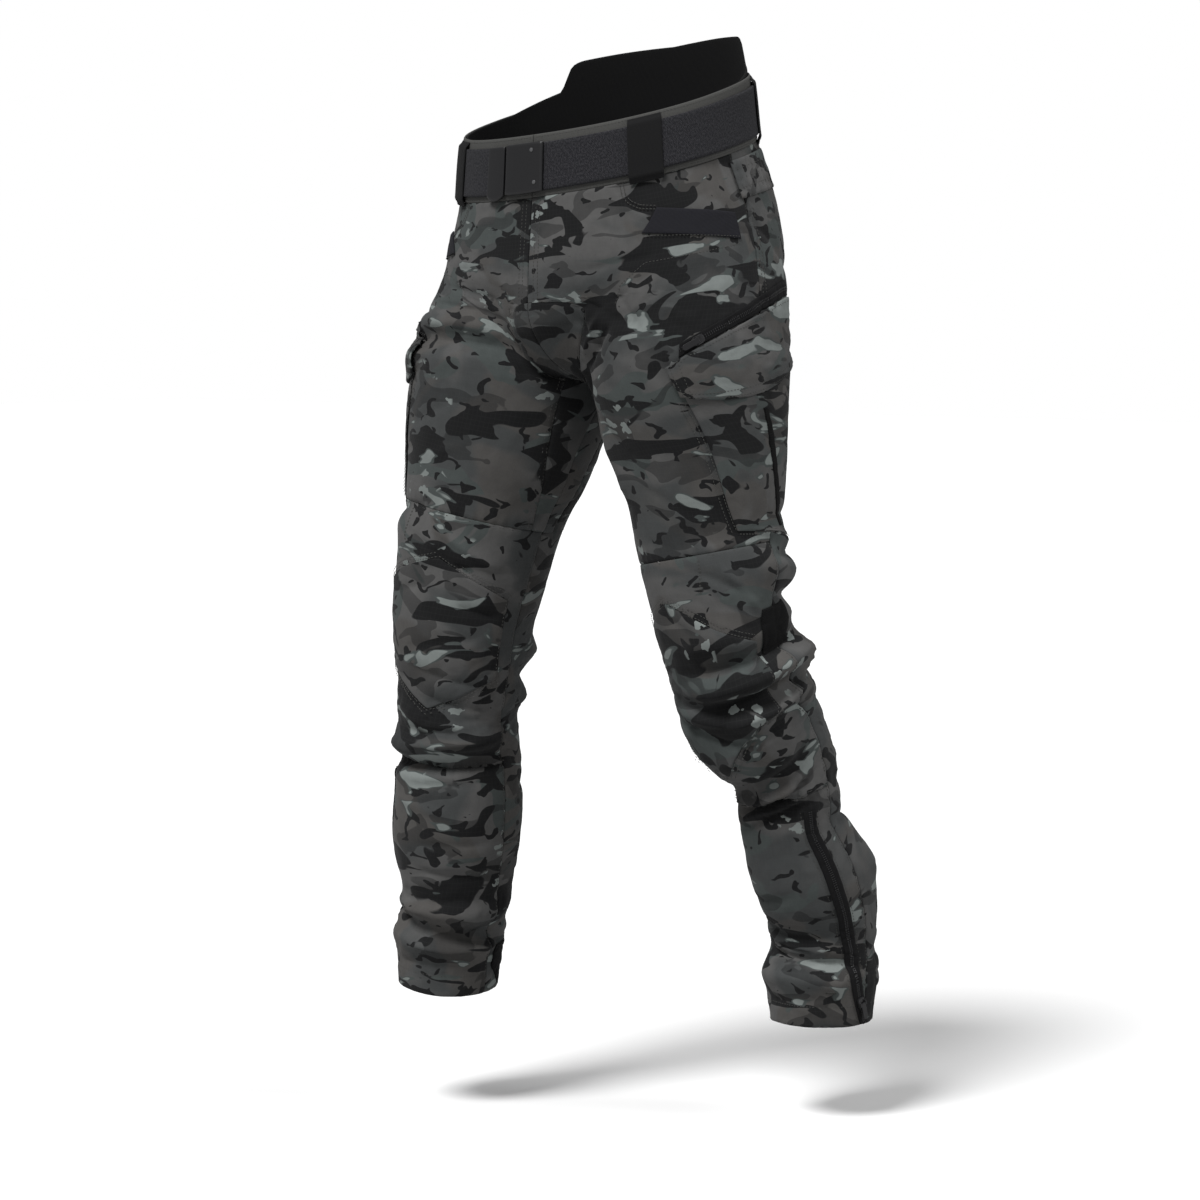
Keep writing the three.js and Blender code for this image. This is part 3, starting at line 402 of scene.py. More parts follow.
# The cloth's outer face with its folds, in millimetres.
def cloth(name, u, s, fine=True):
    u, s = np.broadcast_arrays(np.asarray(u, float), np.asarray(s, float))
    wrapped = wrap(u)
    points = smooth_point(name, wrapped, s)
    du = 0.004
    ds = 2.0
    low = clip01(wrapped - du)
    high = clip01(wrapped + du)
    round_way = smooth_point(name, high, s) - smooth_point(name, low, s)
    down_way = smooth_point(name, wrapped, s + ds) - smooth_point(name, wrapped, s - ds)
    out = unit(np.cross(down_way, round_way)) * LEGS[name]["side"]
    open_seam = (s < CROTCH) & ((wrapped < du) | (wrapped > 1 - du))
    out[..., 0] = np.where(open_seam, 0, out[..., 0])
    out = unit(out)
    from_seam = np.minimum(wrapped, 1 - wrapped)
    calm = np.where(s < CROTCH + 20, clip01(from_seam / 0.03), 1.0)
    below_band = clip01((s - BAND_BOTTOM) / 60)
    height = fold_height(name, wrapped, s, LARGE_FOLDS, 2.0) * below_band * calm
    if fine:
        below_belt = clip01((s - 50) / 40)
        detail = detail_height(name, wrapped, s, points)
        height = height + detail * below_belt * np.maximum(calm, 0.15)
    moved = points + out * height[..., None]
    side = LEGS[name]["side"]
    clear = np.maximum(side * moved[..., 0], 0.2)
    moved[..., 0] = np.where((s < CROTCH + 90), side * clear, moved[..., 0])
    return moved


# A point above the cloth and the way out of it there.
def over(name, u, s, height=0.0, fine=True):
    side = LEGS[name]["side"]
    du = 0.0022
    ds = 1.1
    u = np.asarray(u, float)
    s = np.asarray(s, float)
    upper = np.where(s < CROTCH, np.minimum(u + du, 1), u + du)
    lower = np.where(s < CROTCH, np.maximum(u - du, 0), u - du)
    point = cloth(name, u, s, fine)
    round_way = cloth(name, upper, s, fine) - cloth(name, lower, s, fine)
    down_way = cloth(name, u, s + ds, fine) - cloth(name, u, s - ds, fine)
    out = unit(np.cross(down_way, round_way)) * side
    return point + out * np.asarray(height, float)[..., None], out


# A point above the waist. turn goes round from the centre front over the wearer's left.
def over_waist(turn, s, height=0.0, fine=False):
    turn, s, height = np.broadcast_arrays(
        np.asarray(turn, float) % 1.0, np.asarray(s, float), np.asarray(height, float)
    )
    left, out_left = over("left", clip01(2 * turn), s, height, fine)
    right, out_right = over("right", clip01(2 - 2 * turn), s, height, fine)
    use = (turn <= 0.5)[..., None]
    return np.where(use, left, right), np.where(use, out_left, out_right)


def waist_cloth(turn, s):
    turn = turn % 1.0
    left = cloth("left", clip01(2 * turn), s, False)
    right = cloth("right", clip01(2 - 2 * turn), s, False)
    return np.where((turn <= 0.5)[..., None], left, right)


# Materials
def socket(node, name, value):
    node.inputs[name].default_value = value


class Nodes:
    """A material's node tree, filled step by step."""

    def __init__(self, name, roughness, sheen=0.0, shine=0.12):
        self.material = bpy.data.materials.new(name)
        self.material.use_nodes = True
        self.tree = self.material.node_tree
        self.shader = self.tree.nodes["Principled BSDF"]
        socket(self.shader, "Roughness", roughness)
        socket(self.shader, "Sheen Weight", sheen)
        socket(self.shader, "Sheen Roughness", 0.5)
        socket(self.shader, "Specular IOR Level", shine)

    def new(self, kind, **settings):
        node = self.tree.nodes.new(kind)
        for key, value in settings.items():
            setattr(node, key, value)
        return node

    def link(self, source, target):
        self.tree.links.new(source, target)

    def value(self, source, target):
        if isinstance(source, (int, float)):
            target.default_value = source
        else:
            self.link(source, target)

    def math(self, operation, a, b=0.0):
        node = self.new("ShaderNodeMath", operation=operation)
        self.value(a, node.inputs[0])
        self.value(b, node.inputs[1])
        return node.outputs[0]

    def plus(self, a, b):
        return self.math("ADD", a, b)

    def times(self, a, b):
        return self.math("MULTIPLY", a, b)

    def place(self, scale=(1, 1, 1), shift=(0, 0, 0), turn=0.0):
        uv = self.new("ShaderNodeUVMap", uv_map="cloth")
        mapping = self.new("ShaderNodeMapping")
        socket(mapping, "Scale", scale)
        socket(mapping, "Location", shift)
        socket(mapping, "Rotation", (0, 0, turn))
        self.link(uv.outputs[0], mapping.inputs["Vector"])
        return mapping.outputs[0]

    def noise(self, where, scale, detail=2.0, rough=0.5, distort=0.0):
        node = self.new("ShaderNodeTexNoise", noise_dimensions="2D")
        self.link(where, node.inputs["Vector"])
        socket(node, "Scale", scale)
        socket(node, "Detail", detail)
        socket(node, "Roughness", rough)
        socket(node, "Distortion", distort)
        return node.outputs["Fac"]

    def field(self, scale, shift, turn, *noise):
        return self.noise(self.place(scale, shift, turn), *noise)

    def step(self, source, at, soft=0.006):
        node = self.new("ShaderNodeMapRange", interpolation_type="SMOOTHSTEP")
        self.link(source, node.inputs["Value"])
        socket(node, "From Min", at - soft)
        socket(node, "From Max", at + soft)
        return node.outputs["Result"]

    def mix(self, share, a, b):
        node = self.new("ShaderNodeMix", data_type="RGBA")
        self.value(share, node.inputs[0])
        for source, target in ((a, node.inputs[6]), (b, node.inputs[7])):
            if isinstance(source, tuple):
                target.default_value = (*source, 1)
            else:
                self.link(source, target)
        return node.outputs[2]

    def bump(self, height, strength, distance):
        node = self.new("ShaderNodeBump")
        socket(node, "Strength", strength)
        socket(node, "Distance", distance)
        self.link(height, node.inputs["Height"])
        self.link(node.outputs[0], self.shader.inputs["Normal"])

    def colour(self, source):
        self.value(source, self.shader.inputs["Base Color"])


GREY = (0.087, 0.086, 0.085)
GREEN_GREY = (0.053, 0.056, 0.0565)
BROWN_GREY = (0.072, 0.069, 0.066)
NEAR_BLACK = (0.0100, 0.0102, 0.0107)
PALE = (0.178, 0.196, 0.19)
MID_GREEN = (0.058, 0.0665, 0.065)


# A square grid of slightly thicker threads, every few millimetres.
def ripstop(n, every, wide):
    split = n.new("ShaderNodeSeparateXYZ")
    n.link(n.place(), split.inputs[0])
    lines = []
    for axis in (0, 1):
        phase = n.math("FRACT", n.times(split.outputs[axis], 1 / every))
        off = n.math("ABSOLUTE", n.math("SUBTRACT", phase, 0.5))
        lines.append(n.math("LESS_THAN", off, wide / every / 2))
    return n.math("MAXIMUM", lines[0], lines[1])


# A generic camouflage print: rounded shapes of a few greys, lying across the cloth.
def camouflage(name):
    n = Nodes(name, 0.9, 0.05)
    wide = n.place((0.62, 1, 1))
    ground = n.noise(wide, 9, 3, 0.55, 0.4)
    base = n.mix(n.step(ground, 0.5, 0.07), GREY, GREEN_GREY)
    patches = n.field((0.7, 1, 1), (5.1, 2.7, 0), 0, 11, 2, 0.45, 0.7)
    base = n.mix(n.step(patches, 0.56, 0.05), base, BROWN_GREY)
    greens = n.field((0.55, 1.05, 1), (13.4, 8.2, 0), 0, 15, 2, 0.5, 0.9)
    base = n.mix(n.step(greens, 0.615, 0.012), base, MID_GREEN)
    busy = n.field((0.8, 1, 1), (51.3, 6.1, 0), 0, 5.5, 1, 0.4, 0.3)
    busy = n.times(n.math("SUBTRACT", busy, 0.52), 0.42)
    darks = n.field((0.5, 1.15, 1), (2.2, 19.3, 0), 0.1, 27, 1.7, 0.45, 0.6)
    darks = n.plus(darks, busy)
    base = n.mix(n.step(darks, 0.6, 0.007), base, NEAR_BLACK)
    blots = n.field((0.8, 1.2, 1), (31.7, 4.4, 0), -0.2, 62, 0.8, 0.4, 0.5)
    base = n.mix(n.step(blots, 0.685, 0.008), base, NEAR_BLACK)
    soft_darks = n.field((0.55, 1.2, 1), (3.9, 9.1, 0), -0.06, 30, 1.6, 0.45, 0.5)
    soft_darks = n.plus(soft_darks, busy)
    base = n.mix(n.times(n.step(soft_darks, 0.605, 0.01), 0.5), base, NEAR_BLACK)
    pales = n.field((0.44, 1.25, 1), (17.9, 23.1, 0), 0.12, 36, 2.2, 0.5, 0.4)
    light = n.field((0.7, 1, 1), (3.3, 61.7, 0), 0, 7, 1, 0.4, 0.3)
    light = n.times(n.math("SUBTRACT", light, 0.5), 0.34)
    pales = n.plus(pales, light)
    halo = n.step(pales, 0.668, 0.006)
    base = n.mix(halo, base, MID_GREEN)
    base = n.mix(n.step(pales, 0.697, 0.006), base, PALE)
    dots = n.new("ShaderNodeTexVoronoi", voronoi_dimensions="2D", feature="F1")
    bent = n.new("ShaderNodeVectorMath", operation="ADD")
    shake = n.new("ShaderNodeTexNoise", noise_dimensions="2D")
    n.link(n.place(), shake.inputs["Vector"])
    socket(shake, "Scale", 90)
    sway = n.new("ShaderNodeVectorMath", operation="SCALE")
    n.link(shake.outputs["Color"], sway.inputs[0])
    socket(sway, "Scale", 0.012)
    n.link(n.place((0.62, 1.1, 1), (7.7, 3.3, 0), 0.15), bent.inputs[0])
    n.link(sway.outputs[0], bent.inputs[1])
    n.link(bent.outputs[0], dots.inputs["Vector"])
    socket(dots, "Scale", 56)
    socket(dots, "Randomness", 0.65)
    near = n.math("LESS_THAN", dots.outputs["Distance"], 0.23)
    some = n.step(n.field((0.7, 1, 1), (41.0, 11.0, 0), 0, 13, 1, 0.5, 0.3), 0.685, 0.01)
    base = n.mix(n.times(near, some), base, PALE)
    fade = n.noise(n.place(), 60, 4, 0.7)
    worn = n.new("ShaderNodeHueSaturation")
    n.link(n.plus(n.times(fade, 0.35), 0.84), worn.inputs["Value"])
    n.link(base, worn.inputs["Color"])
    grid = ripstop(n, 0.0048, 0.0005)
    n.colour(n.mix(n.times(grid, 0.035), worn.outputs[0], (0.12, 0.125, 0.12)))
    weave = n.noise(n.place((1, 1, 1)), 1500, 2, 0.6)
    height = n.plus(n.times(grid, 0.35), n.times(weave, 0.6))
    n.bump(height, 0.3, 0.0004)
    return n.material


# Plain dark cloth with a fine rib.
def plain_cloth(name, dark, light, rib, roughness=0.9):
    n = Nodes(name, roughness, 0.015)
    split = n.new("ShaderNodeSeparateXYZ")
    n.link(n.place(), split.inputs[0])
    wave = n.math("SINE", n.times(split.outputs[1], 2 * math.pi / rib))
    fleck = n.noise(n.place(), 900, 3, 0.7)
    n.colour(n.mix(fleck, dark, light))
    n.bump(n.plus(n.times(wave, 0.5), fleck), 0.4, 0.0004)
    return n.material


# Coarse webbing: cords across it and flecks of lighter yarn.
def webbing(name):
    n = Nodes(name, 0.88, 0.03)
    split = n.new("ShaderNodeSeparateXYZ")
    n.link(n.place(), split.inputs[0])
    across = n.math("SINE", n.times(split.outputs[0], 2 * math.pi / 0.0021))
    down = n.math("SINE", n.times(split.outputs[1], 2 * math.pi / 0.0026))
    knit = n.times(across, down)
    fleck = n.noise(n.place((1, 0.6, 1)), 700, 4, 0.75)
    tone = n.step(fleck, 0.52, 0.12)
    n.colour(n.mix(tone, (0.014, 0.014, 0.0165), (0.036, 0.036, 0.040)))
    n.bump(n.plus(n.times(knit, 0.5), fleck), 0.6, 0.0006)
    return n.material


def hardware(name, colour, roughness):
    n = Nodes(name, roughness, shine=0.5)
    grain = n.noise(n.place(), 500, 2, 0.5)
    tone = tuple(1.35 * c for c in colour)
    n.colour(n.mix(grain, colour, tone))
    n.bump(grain, 0.08, 0.0002)
    return n.material


CAMOUFLAGE = camouflage("camouflage cloth")
BLACK = plain_cloth("black cloth", (0.007, 0.007, 0.0075), (0.014, 0.014, 0.0145), 0.0011)
FACING = plain_cloth("black facing", (0.0055, 0.0055, 0.0057), (0.0085, 0.0085, 0.0088), 0.0011)
STRETCH = plain_cloth("black stretch", (0.003, 0.003, 0.0032), (0.006, 0.006, 0.0063), 0.0016)
BAND = plain_cloth("navy black band", (0.0115, 0.0115, 0.0145), (0.019, 0.019, 0.023), 0.0013)
TAPE = plain_cloth("zip tape", (0.0045, 0.0045, 0.005), (0.009, 0.009, 0.0095), 0.0008, 0.8)
BAND_CLOTH = plain_cloth("waistband cloth", (0.038, 0.038, 0.037), (0.105, 0.105, 0.10), 0.0011)
BELT_CLOTH = webbing("belt webbing")
THREAD = plain_cloth("thread", (0.05, 0.05, 0.048), (0.085, 0.085, 0.08), 0.0005)
BUCKLE_FINISH = hardware("satin black", (0.006, 0.006, 0.007), 0.42)
METAL = hardware("dark metal", (0.07, 0.07, 0.073), 0.3)
SLIDER = hardware("black slider", (0.012, 0.012, 0.013), 0.34)
TEETH = hardware("zip coil", (0.012, 0.012, 0.013), 0.38)


# Writes a mesh in metres, with its "cloth" map, and puts it on its body.
def write_mesh(name, points, faces, uvs, material, body="trousers", smooth=True):
    name = f"{name}_look"
    mesh = bpy.data.meshes.new(name)
    mesh.from_pydata((np.asarray(points) * MM).tolist(), [], faces)
    layer = mesh.uv_layers.new(name="cloth")
    loops = np.empty(len(mesh.loops), dtype=np.int32)
    mesh.loops.foreach_get("vertex_index", loops)
    layer.data.foreach_set("uv", np.asarray(uvs, float)[loops].ravel())
    mesh.polygons.foreach_set("use_smooth", [smooth] * len(mesh.polygons))
    mesh.materials.append(material)
    mesh.update()
    obj = bpy.data.objects.new(name, mesh)
    bpy.context.scene.collection.objects.link(obj)
    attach(obj, body)
    return obj


# The pieces of cloth by name, their flat cuts by look, and what goes with each.
PIECES = {}
CUTS = {}
GOES_WITH = {}
# A piece's flat cut is stated as at least this wide, in metres.
LEAST_WIDTH = 0.0101


# Grid lines from low to high, with one close to each end to keep the rim sharp.
def stops(low, high, step, edge=1.1):
    count = max(2, int(round((high - low) / step)))
    inner = np.linspace(low + edge, high - edge, count)
    return np.concatenate([[low], inner, [high]])


# The way out of a grid of points whose rows run down and whose columns run round to the left.
def grid_normals(points, closed=False):
    down = np.gradient(points, axis=0)
    if closed:
        across = np.roll(points, -1, axis=1) - np.roll(points, 1, axis=1)
    else:
        across = np.gradient(points, axis=1)
    return unit(np.cross(down, across))


# A shell from grids of points: a face on the outside, one inside, and a rim round them.
def shell(name, surface, u, s, lift, thick, uvs, material, flip=False, closed=False):
    rows, columns = u.shape
    rounding = np.zeros_like(u)
    rounding[0] = rounding[-1] = 0.3
    if not closed:
        rounding[:, 0] = rounding[:, -1] = 0.3
    middle = surface(u, s)
    out = grid_normals(middle, closed)
    if flip:
        out = -out
    outer = middle + out * (lift + thick * (1 - rounding))[..., None]
    inner = middle + out * (lift + thick * rounding * 0.5)[..., None]
    points = np.concatenate([outer.reshape(-1, 3), inner.reshape(-1, 3)])
    number = np.arange(rows * columns).reshape(rows, columns)
    if closed:
        number = np.concatenate([number, number[:, :1]], axis=1)
    a = number[:-1, :-1].ravel()
    b = number[1:, :-1].ravel()
    c = number[1:, 1:].ravel()
    d = number[:-1, 1:].ravel()
    under = rows * columns
    faces = [np.stack([a, b, c, d], 1), np.stack([d, c, b, a], 1) + under]
    rims = [(number[0, :-1], number[0, 1:]), (number[-1, 1:], number[-1, :-1])]
    if not closed:
        rims += [(number[1:, 0], number[:-1, 0]), (number[:-1, -1], number[1:, -1])]
    for p, q in rims:
        faces.append(np.stack([p, q, q + under, p + under], 1))
    faces = np.concatenate(faces)
    if flip:
        faces = faces[:, ::-1]
    maps = np.concatenate([uvs.reshape(-1, 2)] * 2)
    return write_mesh(name, points, faces.tolist(), maps, material)


# Each piece takes its own place in the print.
def seed_shift(name):
    number = sum((i + 3) * ord(c) for i, c in enumerate(name))
    return (number * 0.137) % 7.0, (number * 0.291) % 5.0


# A piece of a leg. edges(a, b) gives (u, s) for a and b from 0 to 1, and wide and long are its
# rough sizes, for the grid.
def leg_piece(
    stem, leg, edges, wide, long, lift=-WALL, thick=WALL, material=None, step=None, rows=None
):
    name = f"{stem}_{leg}"
    step = step or GRID
    a = stops(0, wide, step) / wide
    b = stops(0, long, step) / long if rows is None else rows
    a, b = np.meshgrid(a, b)
    u, s = edges(a, b)
    lifts = lift(u, s) if callable(lift) else np.full_like(u, lift)
    thicks = thick(u, s) if callable(thick) else np.full_like(u, thick)
    shift = seed_shift(name)
    uvs = np.stack([u * girth_of(leg, s) * MM + shift[0], -s * MM + shift[1]], axis=-1)
    flip = LEGS[leg]["side"] < 0
    surface = partial(cloth, leg)
    obj = shell(name, surface, u, s, lifts, thicks, uvs, material or CAMOUFLAGE, flip)
    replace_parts(obj, name)
    PIECES[name] = obj
    flat_cut(obj, smooth_point(leg, wrap(u), s))


# A thin piece that lies on the leg.
def sewn_on(stem, leg, edges, wide, long, material=None, step=None):
    leg_piece(stem, leg, edges, wide, long, SEAT, THIN, material, step)


# The flat cut of a piece is measured on the smooth cloth: its widest row and longest column
# make the rectangle, and its area is the sum of its cells.
def flat_cut(obj, base):
    across = np.linalg.norm(np.diff(base, axis=1), axis=-1).sum(1).max() * MM
    down = np.linalg.norm(np.diff(base, axis=0), axis=-1).sum(0).max() * MM
    p = base[1:, 1:] - base[:-1, :-1]
    q = base[:-1, 1:] - base[1:, :-1]
    area = 0.5 * np.linalg.norm(np.cross(p, q), axis=-1).sum() * MM * MM
    across = max(across, LEAST_WIDTH)
    CUTS[obj.name] = (across, down, min(area, across * down))


def between(edge_a, edge_b):
    return lambda a, b: tuple(
        np.asarray(x) * (1 - b) + np.asarray(y) * b for x, y in zip(edge_a(a), edge_b(a))
    )


def straight(p, q):
    return lambda a: (p[0] + (q[0] - p[0]) * a, p[1] + (q[1] - p[1]) * a)


# Stitches: short raised dashes along a line of (u, s) on a leg, each stitch a small block.
STITCHES = {"left": [], "right": []}


def stitch(leg, line, offsets=(0.0,), height=0.0, pitch=3.6, every=0.6):
    line_u, line_s = line
    rise = height if callable(height) else lambda uu, ss: np.full(np.shape(uu), height)
    for off in offsets:
        points, _ = over(leg, line_u, line_s)
        run = np.concatenate([[0], np.cumsum(np.linalg.norm(np.diff(points, axis=0), axis=1))])
        count = int(run[-1] / pitch)
        if count < 1:
            continue
        middle = (np.arange(count) + 0.5) * run[-1] / count
        u, ahead_u = (np.interp(middle + step, run, line_u) for step in (0, 1))
        s, ahead_s = (np.interp(middle + step, run, line_s) for step in (0, 1))
        at, out = over(leg, u, s, rise(u, s))
        ahead, _ = over(leg, ahead_u, ahead_s, rise(ahead_u, ahead_s))
        behind, _ = over(leg, 2 * u - ahead_u, 2 * s - ahead_s, rise(u, s))
        way = unit(ahead - behind)
        side = unit(np.cross(out, way)) * LEGS[leg]["side"]
        at = at + side * off
        STITCHES[leg].append((at, way, side, out, pitch * every))


def polyline(*corners, count=None):
    corners = np.array(corners, float)
    steps = np.hypot(np.diff(corners[:, 0]) * MIDDLE_GIRTH, np.diff(corners[:, 1]))
    run = np.concatenate([[0], np.cumsum(steps)])
    at = np.linspace(0, run[-1], count or max(8, int(run[-1] / 4)))
    return np.interp(at, run, corners[:, 0]), np.interp(at, run, corners[:, 1])


# Stitches along straight runs between corners.
def sew(leg, *corners, count=None, **how):
    stitch(leg, polyline(*corners, count=count), **how)


BLOCK = np.array(
    [[-0.5, -0.5, 0], [0.5, -0.5, 0], [0.5, 0.5, 0], [-0.5, 0.5, 0]]
    + [[-0.36, -0.3, 1], [0.36, -0.3, 1], [0.36, 0.3, 1], [-0.36, 0.3, 1]]
)
BLOCK_FACES = [[3, 2, 1, 0], [4, 5, 6, 7], [0, 1, 5, 4], [1, 2, 6, 5], [2, 3, 7, 6], [3, 0, 4, 7]]


# Many small blocks as one mesh. Each row is a middle, three directions and a size.
def blocks(name, rows, material, wide=0.75, high=0.42, sink=0.12):
    points = []
    for at, way, side, out, long in rows:
        scale = np.array([long, wide, high])
        local = BLOCK * scale - [0, 0, sink]
        basis = np.stack([way, side, out], axis=1)
        points.append(at[:, None, :] + np.einsum("vk,nkd->nvd", local, basis))
    points = np.concatenate(points).reshape(-1, 3)
    count = len(points) // 8
    faces = (np.array(BLOCK_FACES)[None] + 8 * np.arange(count)[:, None, None]).reshape(-1, 4)
    uvs = points[:, [0, 2]] * MM
    return write_mesh(name, points, faces.tolist(), uvs, material, smooth=False)


# The cut of one leg
def gusset_edge(leg, s):
    reach = along(GUSSET, leg, np.clip(s, 110, 420))
    above = clip01((FORK_START + GUSSET_ARCH - s) / GUSSET_ARCH)
    return reach * np.sqrt(1 - above**2) * (s < LEGS[leg]["knee_top"] + 0.1)


# Rows from the top of a panel to its foot, close together where the gusset's edge turns.
def panel_rows(top, foot, step):
    plain = stops(top, foot, step)
    arch = FORK_START + GUSSET_ARCH * (1 - np.cos(np.linspace(0, np.pi / 2, 12)))
    kept = plain[(plain < FORK_START - 1) | (plain > FORK_START + GUSSET_ARCH + 1)]
    rows = np.concatenate([kept, arch])
    return np.unique(rows[(rows >= top) & (rows <= foot)])


def build_panels(leg):
    spec = LEGS[leg]
    top = BAND_BOTTOM + SEAM
    knee_top = spec["knee_top"]
    knee_bottom = spec["knee_bottom"]
    hem = spec["hem"]
    gap = SEAM_U

    def thigh(a, b):
        s = top + (knee_top - SEAM - top) * b
        start = gusset_edge(leg, s) + gap
        return start + (0.5 - gap - start) * a, s

    def knee(a, b):
        return gap + (0.5 - 2 * gap) * a, knee_top + SEAM + (knee_bottom - knee_top - 2 * SEAM) * b

    def shin(a, b):
        return gap + (0.5 - 2 * gap) * a, knee_bottom + SEAM + (hem - knee_bottom - SEAM) * b

    def back(a, b):
        s = top + (hem - top) * b
        end = 1 - gusset_edge(leg, s) - gap
        return 0.5 + gap + (end - 0.5 - gap) * a, s

    thigh_rows = (panel_rows(top, knee_top - SEAM, GRID) - top) / (knee_top - SEAM - top)
    lift = lambda u, s: -WALL - np.clip(1.6 * pocket_cut(u, s), 0, 1.6)
    leg_piece("front_thigh", leg, thigh, 300, knee_top - top, lift=lift, rows=thigh_rows)
    leg_piece("front_knee", leg, knee, 240, knee_bottom - knee_top)
    leg_piece("front_shin", leg, shin, 200, hem - knee_bottom)
    back_rows = (panel_rows(top, hem, GRID) - top) / (hem - top)
    leg_piece("back", leg, back, 300, hem - top, rows=back_rows)


# 1 where the front panel is cut away over the hip pocket's facing, 0 elsewhere.
def pocket_cut(u, s):
    edge = 66 + 36 * clip01((u - 0.192) / 0.036) ** 0.45 + 130 * clip01(u - 0.228)
    inside = clip01((edge - s) / 1.6)
    return inside * clip01((u - 0.19) / 0.003) * (u < 0.5)


def build_gusset():
    parts = []
    for leg in ("left", "right"):
        knee_top = LEGS[leg]["knee_top"]
        for back in (False, True):
            a = stops(0, 40, GRID, 0.9) / 40
            a, s = np.meshgrid(a, panel_rows(FORK_START + SEAM, knee_top - SEAM, GRID))
            u = np.maximum(gusset_edge(leg, s) - SEAM_U, 0) * a
            parts.append((leg, 1 - u if back else u, s, back))
    meshes = []
    for leg, u, s, back in parts:
        uvs = np.stack([u * girth_of(leg, s) * MM + 3.3, -s * MM + 1.9], axis=-1)
        surface = partial(cloth, leg)
        flip = (LEGS[leg]["side"] < 0) != back
        name = f"gusset_{leg}_{'back' if back else 'front'}"
        lift = np.full_like(u, -WALL)
        thick = np.full_like(u, WALL)
        meshes.append(shell(name, surface, u, s, lift, thick, uvs, CAMOUFLAGE, flip))
    joined = join("crotch_gusset", meshes)
    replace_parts(joined, "crotch_gusset")
    PIECES["crotch_gusset"] = joined
    CUTS[joined.name] = GUSSET_CUT


# A small bevel on the sharp edges of a hard piece.
def soften(obj, width, angle=30):
    bevel = obj.modifiers.new("edges", "BEVEL")
    bevel.width = width
    bevel.segments = 2
    bevel.limit_method = "ANGLE"
    bevel.angle_limit = math.radians(angle)


def join(name, objects):
    target = objects[0]
    with bpy.context.temp_override(
        active_object=target,
        object=target,
        selected_objects=objects,
        selected_editable_objects=objects,
    ):
        bpy.ops.object.join()
    target.name = f"{name}_look"
    return target


# The waist
def waist_ring(name, top, bottom, lift, thick, material, step=None):
    count = 240
    turn = np.arange(count) / count
    rows = stops(0, 1, (step or GRID) / max(20, bottom - np.min(top(turn))), 0.02)
    turn, b = np.meshgrid(turn, rows)
    s = top(turn) + (bottom - top(turn)) * b
    uvs = np.stack([np.abs(turn - 0.5) * WAIST * MM, -s * MM], axis=-1)
    lifts = np.full_like(s, lift)
    thicks = np.full_like(s, thick)
    obj = shell(name, waist_cloth, turn, s, lifts, thicks, uvs, material, closed=True)
    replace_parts(obj, name)
    PIECES[name] = obj
    base, _ = over_waist(turn, s, 0.0)
    flat_cut(obj, base)
    across, down, area = CUTS[obj.name]
    CUTS[obj.name] = (across * count / (count - 1), down, area * count / (count - 1))


def waist_strip(name, turn0, turn1, s0, s1, lift, thick, material, step=2.0, edge=1.0):
    wide = abs(turn1 - turn0) * WAIST
    long = s1 - s0
    a = stops(0, wide, step, edge) / wide
    b = stops(0, long, step, edge) / long
    a, b = np.meshgrid(a, b)
    turn = turn0 + (turn1 - turn0) * a
    s = s0 + long * b
    lifts = lift(turn, s) if callable(lift) else np.full_like(s, lift)
    uvs = np.stack([a * wide * MM, -s * MM], axis=-1)
    obj = shell(name, waist_cloth, turn, s, lifts, np.full_like(s, thick), uvs, material)
    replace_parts(obj, name)
    PIECES[name] = obj
    CUTS[obj.name] = (wide * MM, long * MM, None)


# How far the black facing stands up behind: a low foot, then a panel with rounded corners.
BACK_PANEL = table(
    "turn rise",
    (0.29, 0), (0.335, 6), (0.36, 9), (0.3665, 22), (0.3705, 30), (0.376, 34.2), (0.385, 35.5),
    (0.43, 34), (0.5, 31),
)


def back_rise(turn):
    t = np.minimum(turn, 1 - turn)
    return np.interp(t, column(BACK_PANEL, "turn"), column(BACK_PANEL, "rise"))


def build_waist():
    for leg in ("left", "right"):
        edges = lambda a, b: (0.0006 + 0.9988 * a, 0.2 + (BAND_BOTTOM - 0.2) * b)
        leg_piece("waistband", leg, edges, 460, BAND_BOTTOM, material=BAND_CLOTH)
    facing_top = lambda t: 0.2 - back_rise(t)
    waist_ring("waist_facing", facing_top, BAND_BOTTOM - 4, lift=-4.2, thick=1.8, material=FACING)
    belt_top = lambda t: np.full_like(t, BELT_TOP)
    waist_ring("belt", belt_top, BELT_BOTTOM, BELT_LIFT, BELT_THICK, BELT_CLOTH, 2.5)
    turns = {
        "front_left": 0.128,
        "front_right": 0.872,
        "side_left": 0.345,
        "side_right": 0.655,
        "back": 0.5,
    }
    over_belt = BELT_LIFT + BELT_THICK + 0.3

    def loop_lift(turn, s):
        down = clip01((s - 4) / 5) * clip01((69 - s) / 6)
        bulge = 0.7 * np.sin(np.pi * clip01((s - 8) / 54))
        return SEAT + (over_belt - SEAT + bulge) * (3 * down**2 - 2 * down**3)

    for name, turn in turns.items():
        waist_strip(f"belt_loop_{name}", turn - 0.0185, turn + 0.0185, 3, 70, loop_lift, 1.3, BLACK)


